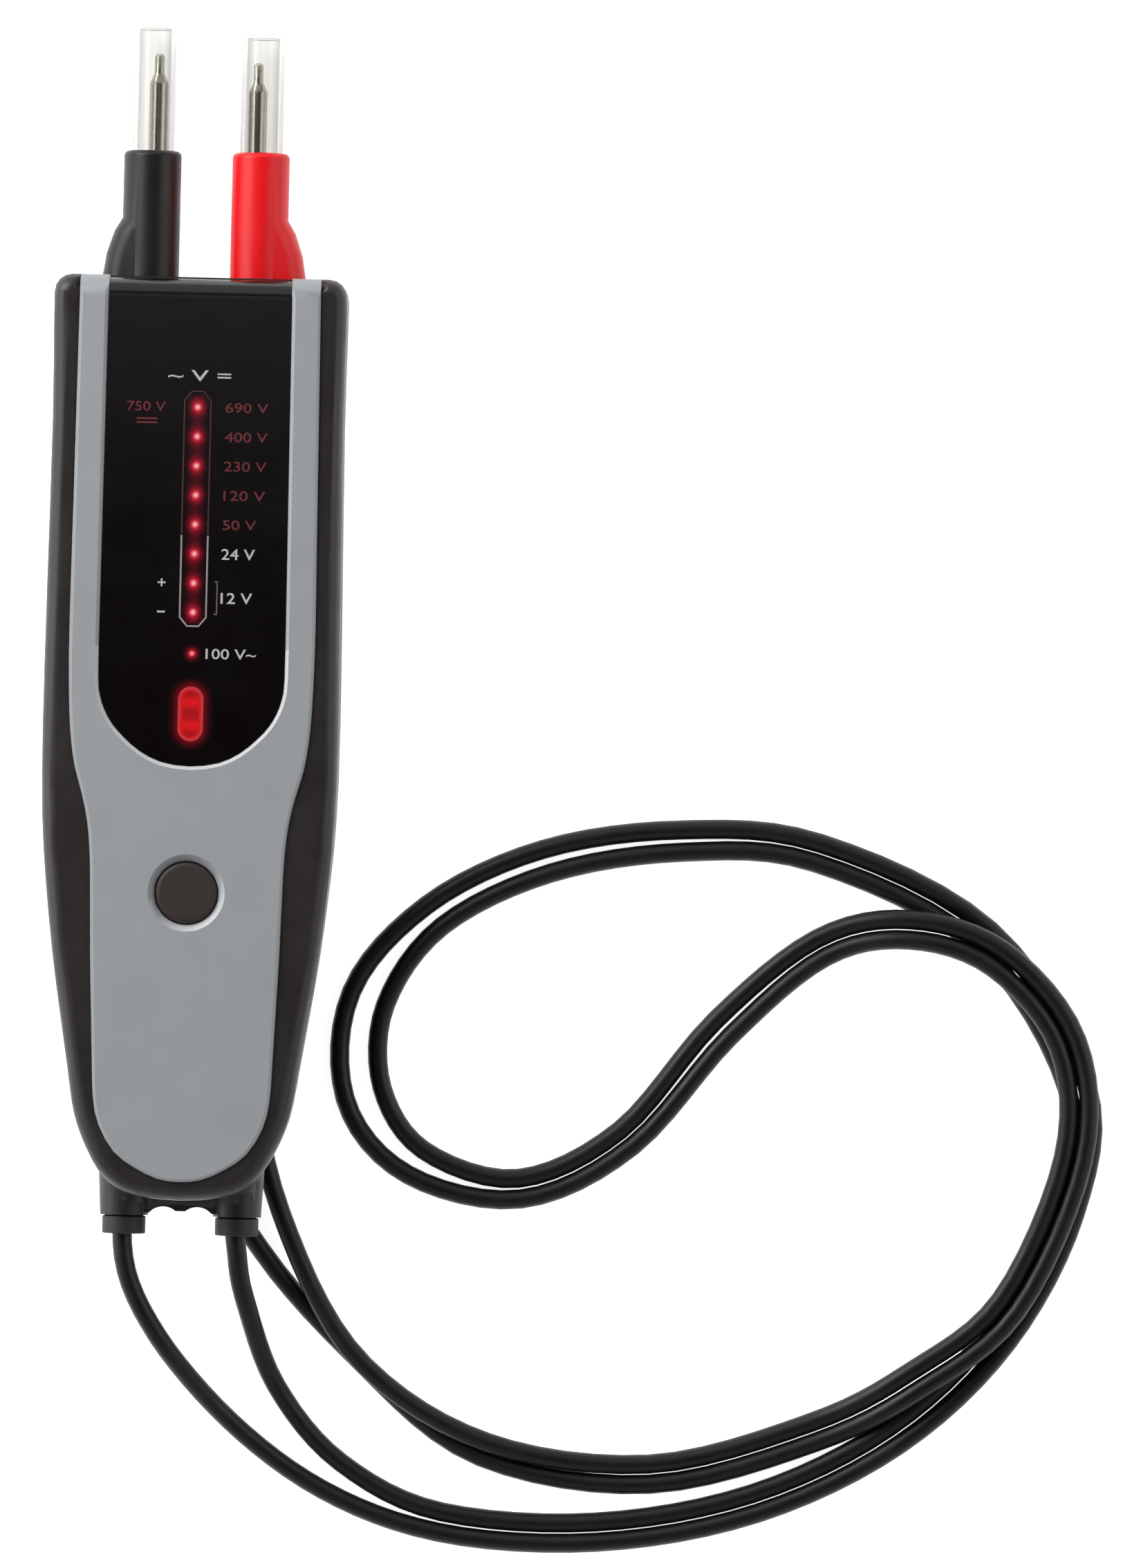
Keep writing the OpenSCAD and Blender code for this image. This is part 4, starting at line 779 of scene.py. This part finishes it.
class TESTER_OT_leads(bpy.types.Operator):
    """The two leads, each one piece from its boss to its probe"""
    bl_idname = "tester.leads"
    bl_label = "Leads"

    def execute(self, context):
        for colour, side in (("red", 1), ("black", -1)):
            points = lead_points(side)
            curve = bpy.data.curves.new(colour + "_lead", "CURVE")
            curve.dimensions = "3D"
            curve.bevel_depth = LEAD_R * MM
            curve.bevel_resolution = 5
            curve.use_fill_caps = True
            spline = curve.splines.new("POLY")
            spline.points.add(len(points) - 1)
            for p, q in zip(spline.points, points):
                p.co = (*q, 1.0)
            spline.use_smooth = True
            obj = bpy.data.objects.new(colour + "_lead", curve)
            context.scene.collection.objects.link(obj)
            pick(obj)
            bpy.ops.object.convert(target="MESH")
            obj = smooth(active(), 60)
            dress(obj, "jacket")
            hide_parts(colour + "_probe_lead")
            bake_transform(obj)
        return {"FINISHED"}


class TESTER_OT_inside(bpy.types.Operator):
    """Board, its parts, cells, contacts and the battery door"""
    bl_idname = "tester.inside"
    bl_label = "Inside"

    def execute(self, context):
        for node, key, bevel in (
                ("circuit_board", "board", 0.0), ("light_mask", "mask", 0.15),
                ("controller_chip", "ic", 0.15), ("series_resistors", "resistor", 0.1),
                ("capacitors", "can", 0.3), ("buzzer", "mask", 0.3), ("board_screws", "zinc", 0.1),
                ("lead_tags", "brass", 0.1), ("battery_cells", "cell", 0.3),
                ("battery_contacts", "contact", 0.1), ("battery_door", "case", 0.15),
                ("battery_door_screw", "zinc", 0.1)):
            finished_copy(node, key, bevel)
        return {"FINISHED"}


# Lamps: name, place, the point that it looks at, size in metres and watts
LAMPS = (
    ("key_left", (-0.6, 0.45, 0.48), (0.05, -0.03, 0.0), 0.6, 7.6),
    ("side_left", (-0.55, -0.06, 0.2), (-0.02, -0.02, 0.015), 0.3, 0.7),
    ("edge_top", (0.0, 1.5, 0.7), (0.0, 0.0, 0.0), 1.6, 3.0),
    ("fill_right", (1.1, 0.3, 0.7), (0.05, -0.03, 0.0), 0.9, 3.0),
    ("panel_top", (0.0, 0.749, 3.2), (0.0, 0.749, 0.0), 1.2, 1.9),
)
# Camera: sensor and photo height give the lens from the focal length in pixels; turn in radians
SENSOR_MM, PHOTO_HEIGHT, FOCAL_PIXELS = 24.0, 2268, 20520
CAMERA_X, CAMERA_Y, CAMERA_TURN = 0.07092, -0.02759, 0.02412
# How far the floor is lifted to white where the camera, gloss or clear plastic shows it
FLOOR_LIFT = 0.86


class TESTER_OT_stage(bpy.types.Operator):
    """Plain pale floor, soft light and the camera straight above"""
    bl_idname = "tester.stage"
    bl_label = "Stage"

    def execute(self, context):
        self.floor()
        self.studio(context.scene)
        self.lamps(context.scene)
        self.camera(context.scene)
        context.scene.view_settings.view_transform = "Standard"
        return {"FINISHED"}

    def floor(self):
        """A sheet of pale paper just under the tester, which shows white and keeps its shadow"""
        deselect()
        bpy.ops.mesh.primitive_plane_add(size=6.0, location=(0.07, -0.03, -0.0001))
        floor = active()
        floor.name = "floor"
        mat, t = new_material("pale_table_paper")
        path = add_node(t, "ShaderNodeLightPath")
        seen = add_node(t, "ShaderNodeMath", {"operation": "MAXIMUM"},
                        {0: path.outputs["Is Camera Ray"], 1: path.outputs["Is Glossy Ray"]})
        both = add_node(t, "ShaderNodeMath", {"operation": "MAXIMUM"},
                        {0: seen.outputs[0], 1: path.outputs["Is Transmission Ray"]})
        lift = add_node(t, "ShaderNodeMath", {"operation": "MULTIPLY", 1: FLOOR_LIFT}, {0: both.outputs[0]})
        place = add_node(t, "ShaderNodeTexCoord")
        fibre = add_node(t, "ShaderNodeTexNoise", {"Scale": 600.0, "Detail": 2.0},
                         {"Vector": place.outputs["Object"]})
        bump = add_node(t, "ShaderNodeBump", {"Strength": 0.02, "Distance": 0.0001},
                        {"Height": fibre.outputs["Fac"]})
        shader = add_node(t, "ShaderNodeBsdfPrincipled",
                          {"Base Color": hex_linear("#f2f2f2"), "Roughness": 0.9, "Specular IOR Level": 0.0,
                           "Emission Color": (1, 1, 1, 1)},
                          {"Emission Strength": lift.outputs[0], "Normal": bump.outputs["Normal"]})
        finish_material(t, shader)
        floor.data.materials.append(mat)

    def studio(self, scene):
        """Soft light from all round, and white where the camera sees past the floor"""
        world = bpy.data.worlds.new("studio")
        scene.world = world
        world.use_nodes = True
        t = world.node_tree
        t.nodes.clear()
        path = add_node(t, "ShaderNodeLightPath")
        place = add_node(t, "ShaderNodeTexCoord")
        axes = add_node(t, "ShaderNodeSeparateXYZ", {}, {0: place.outputs["Generated"]})
        # Round the camera the studio is dark, so that level faces stay deep and rounded edges catch light
        high = add_node(t, "ShaderNodeMapRange", {"interpolation_type": "SMOOTHSTEP", "From Min": 0.76,
                                                  "From Max": 0.94, "To Min": 0.64, "To Max": 0.03},
                        {"Value": axes.outputs["Z"]})
        plain = add_node(t, "ShaderNodeBackground", {"Color": (1, 1, 1, 1), "Strength": 1.0})
        soft = add_node(t, "ShaderNodeBackground", {"Color": hex_linear("#fbfaf8")},
                        {"Strength": high.outputs["Result"]})
        mix = add_node(t, "ShaderNodeMixShader", {}, {0: path.outputs["Is Camera Ray"], 1: soft.outputs[0],
                                                      2: plain.outputs[0]})
        add_node(t, "ShaderNodeOutputWorld", {}, {"Surface": mix.outputs[0]})

    def lamps(self, scene):
        """Large square lamps, each turned to the tester"""
        for name, place, aim, size, power in LAMPS:
            lamp = bpy.data.lights.new(name, "AREA")
            lamp.shape = "SQUARE"
            lamp.size = size
            lamp.energy = power
            obj = bpy.data.objects.new(name, lamp)
            scene.collection.objects.link(obj)
            obj.location = place
            obj.rotation_euler = (Vector(aim) - Vector(place)).to_track_quat("-Z", "Y").to_euler()

    def camera(self, scene):
        """A long lens straight above, as in the photo"""
        camera = bpy.data.cameras.new("camera")
        camera.sensor_fit = "VERTICAL"
        camera.sensor_height = SENSOR_MM
        camera.lens = SENSOR_MM * FOCAL_PIXELS / PHOTO_HEIGHT
        camera.clip_start = 0.05
        camera.clip_end = 20.0
        obj = bpy.data.objects.new("camera", camera)
        obj.location = (CAMERA_X, CAMERA_Y, scene.tester_sizes.camera_height)
        obj.rotation_euler = (0, 0, CAMERA_TURN)
        scene.collection.objects.link(obj)
        scene.camera = obj


STEPS = ("stage", "leads", "case", "front", "lights", "legend", "lamp", "button", "probes", "inside")


class TESTER_PT_panel(bpy.types.Panel):
    """Lists the steps that dress the tester"""
    bl_idname = "TESTER_PT_panel"
    bl_label = "Voltage tester"
    bl_space_type = "VIEW_3D"
    bl_region_type = "UI"
    bl_category = "Tester"

    def draw(self, context):
        sizes = context.scene.tester_sizes
        for name in TesterSizes.__annotations__:
            self.layout.prop(sizes, name)
        for step in STEPS:
            self.layout.operator("tester." + step)


CLASSES = (TesterSizes, TESTER_OT_case, TESTER_OT_front, TESTER_OT_lights, TESTER_OT_legend, TESTER_OT_lamp,
           TESTER_OT_button, TESTER_OT_probes, TESTER_OT_leads, TESTER_OT_inside, TESTER_OT_stage,
           TESTER_PT_panel)


def register():
    for cls in CLASSES:
        bpy.utils.register_class(cls)
    bpy.types.Scene.tester_sizes = bpy.props.PointerProperty(type=TesterSizes)


def unregister():
    del bpy.types.Scene.tester_sizes
    for cls in reversed(CLASSES):
        bpy.utils.unregister_class(cls)


def main():
    register()
    build_materials(bpy.context.scene.tester_sizes)
    for step in STEPS:
        getattr(bpy.ops.tester, step)()


if __name__ == "__main__":
    main()
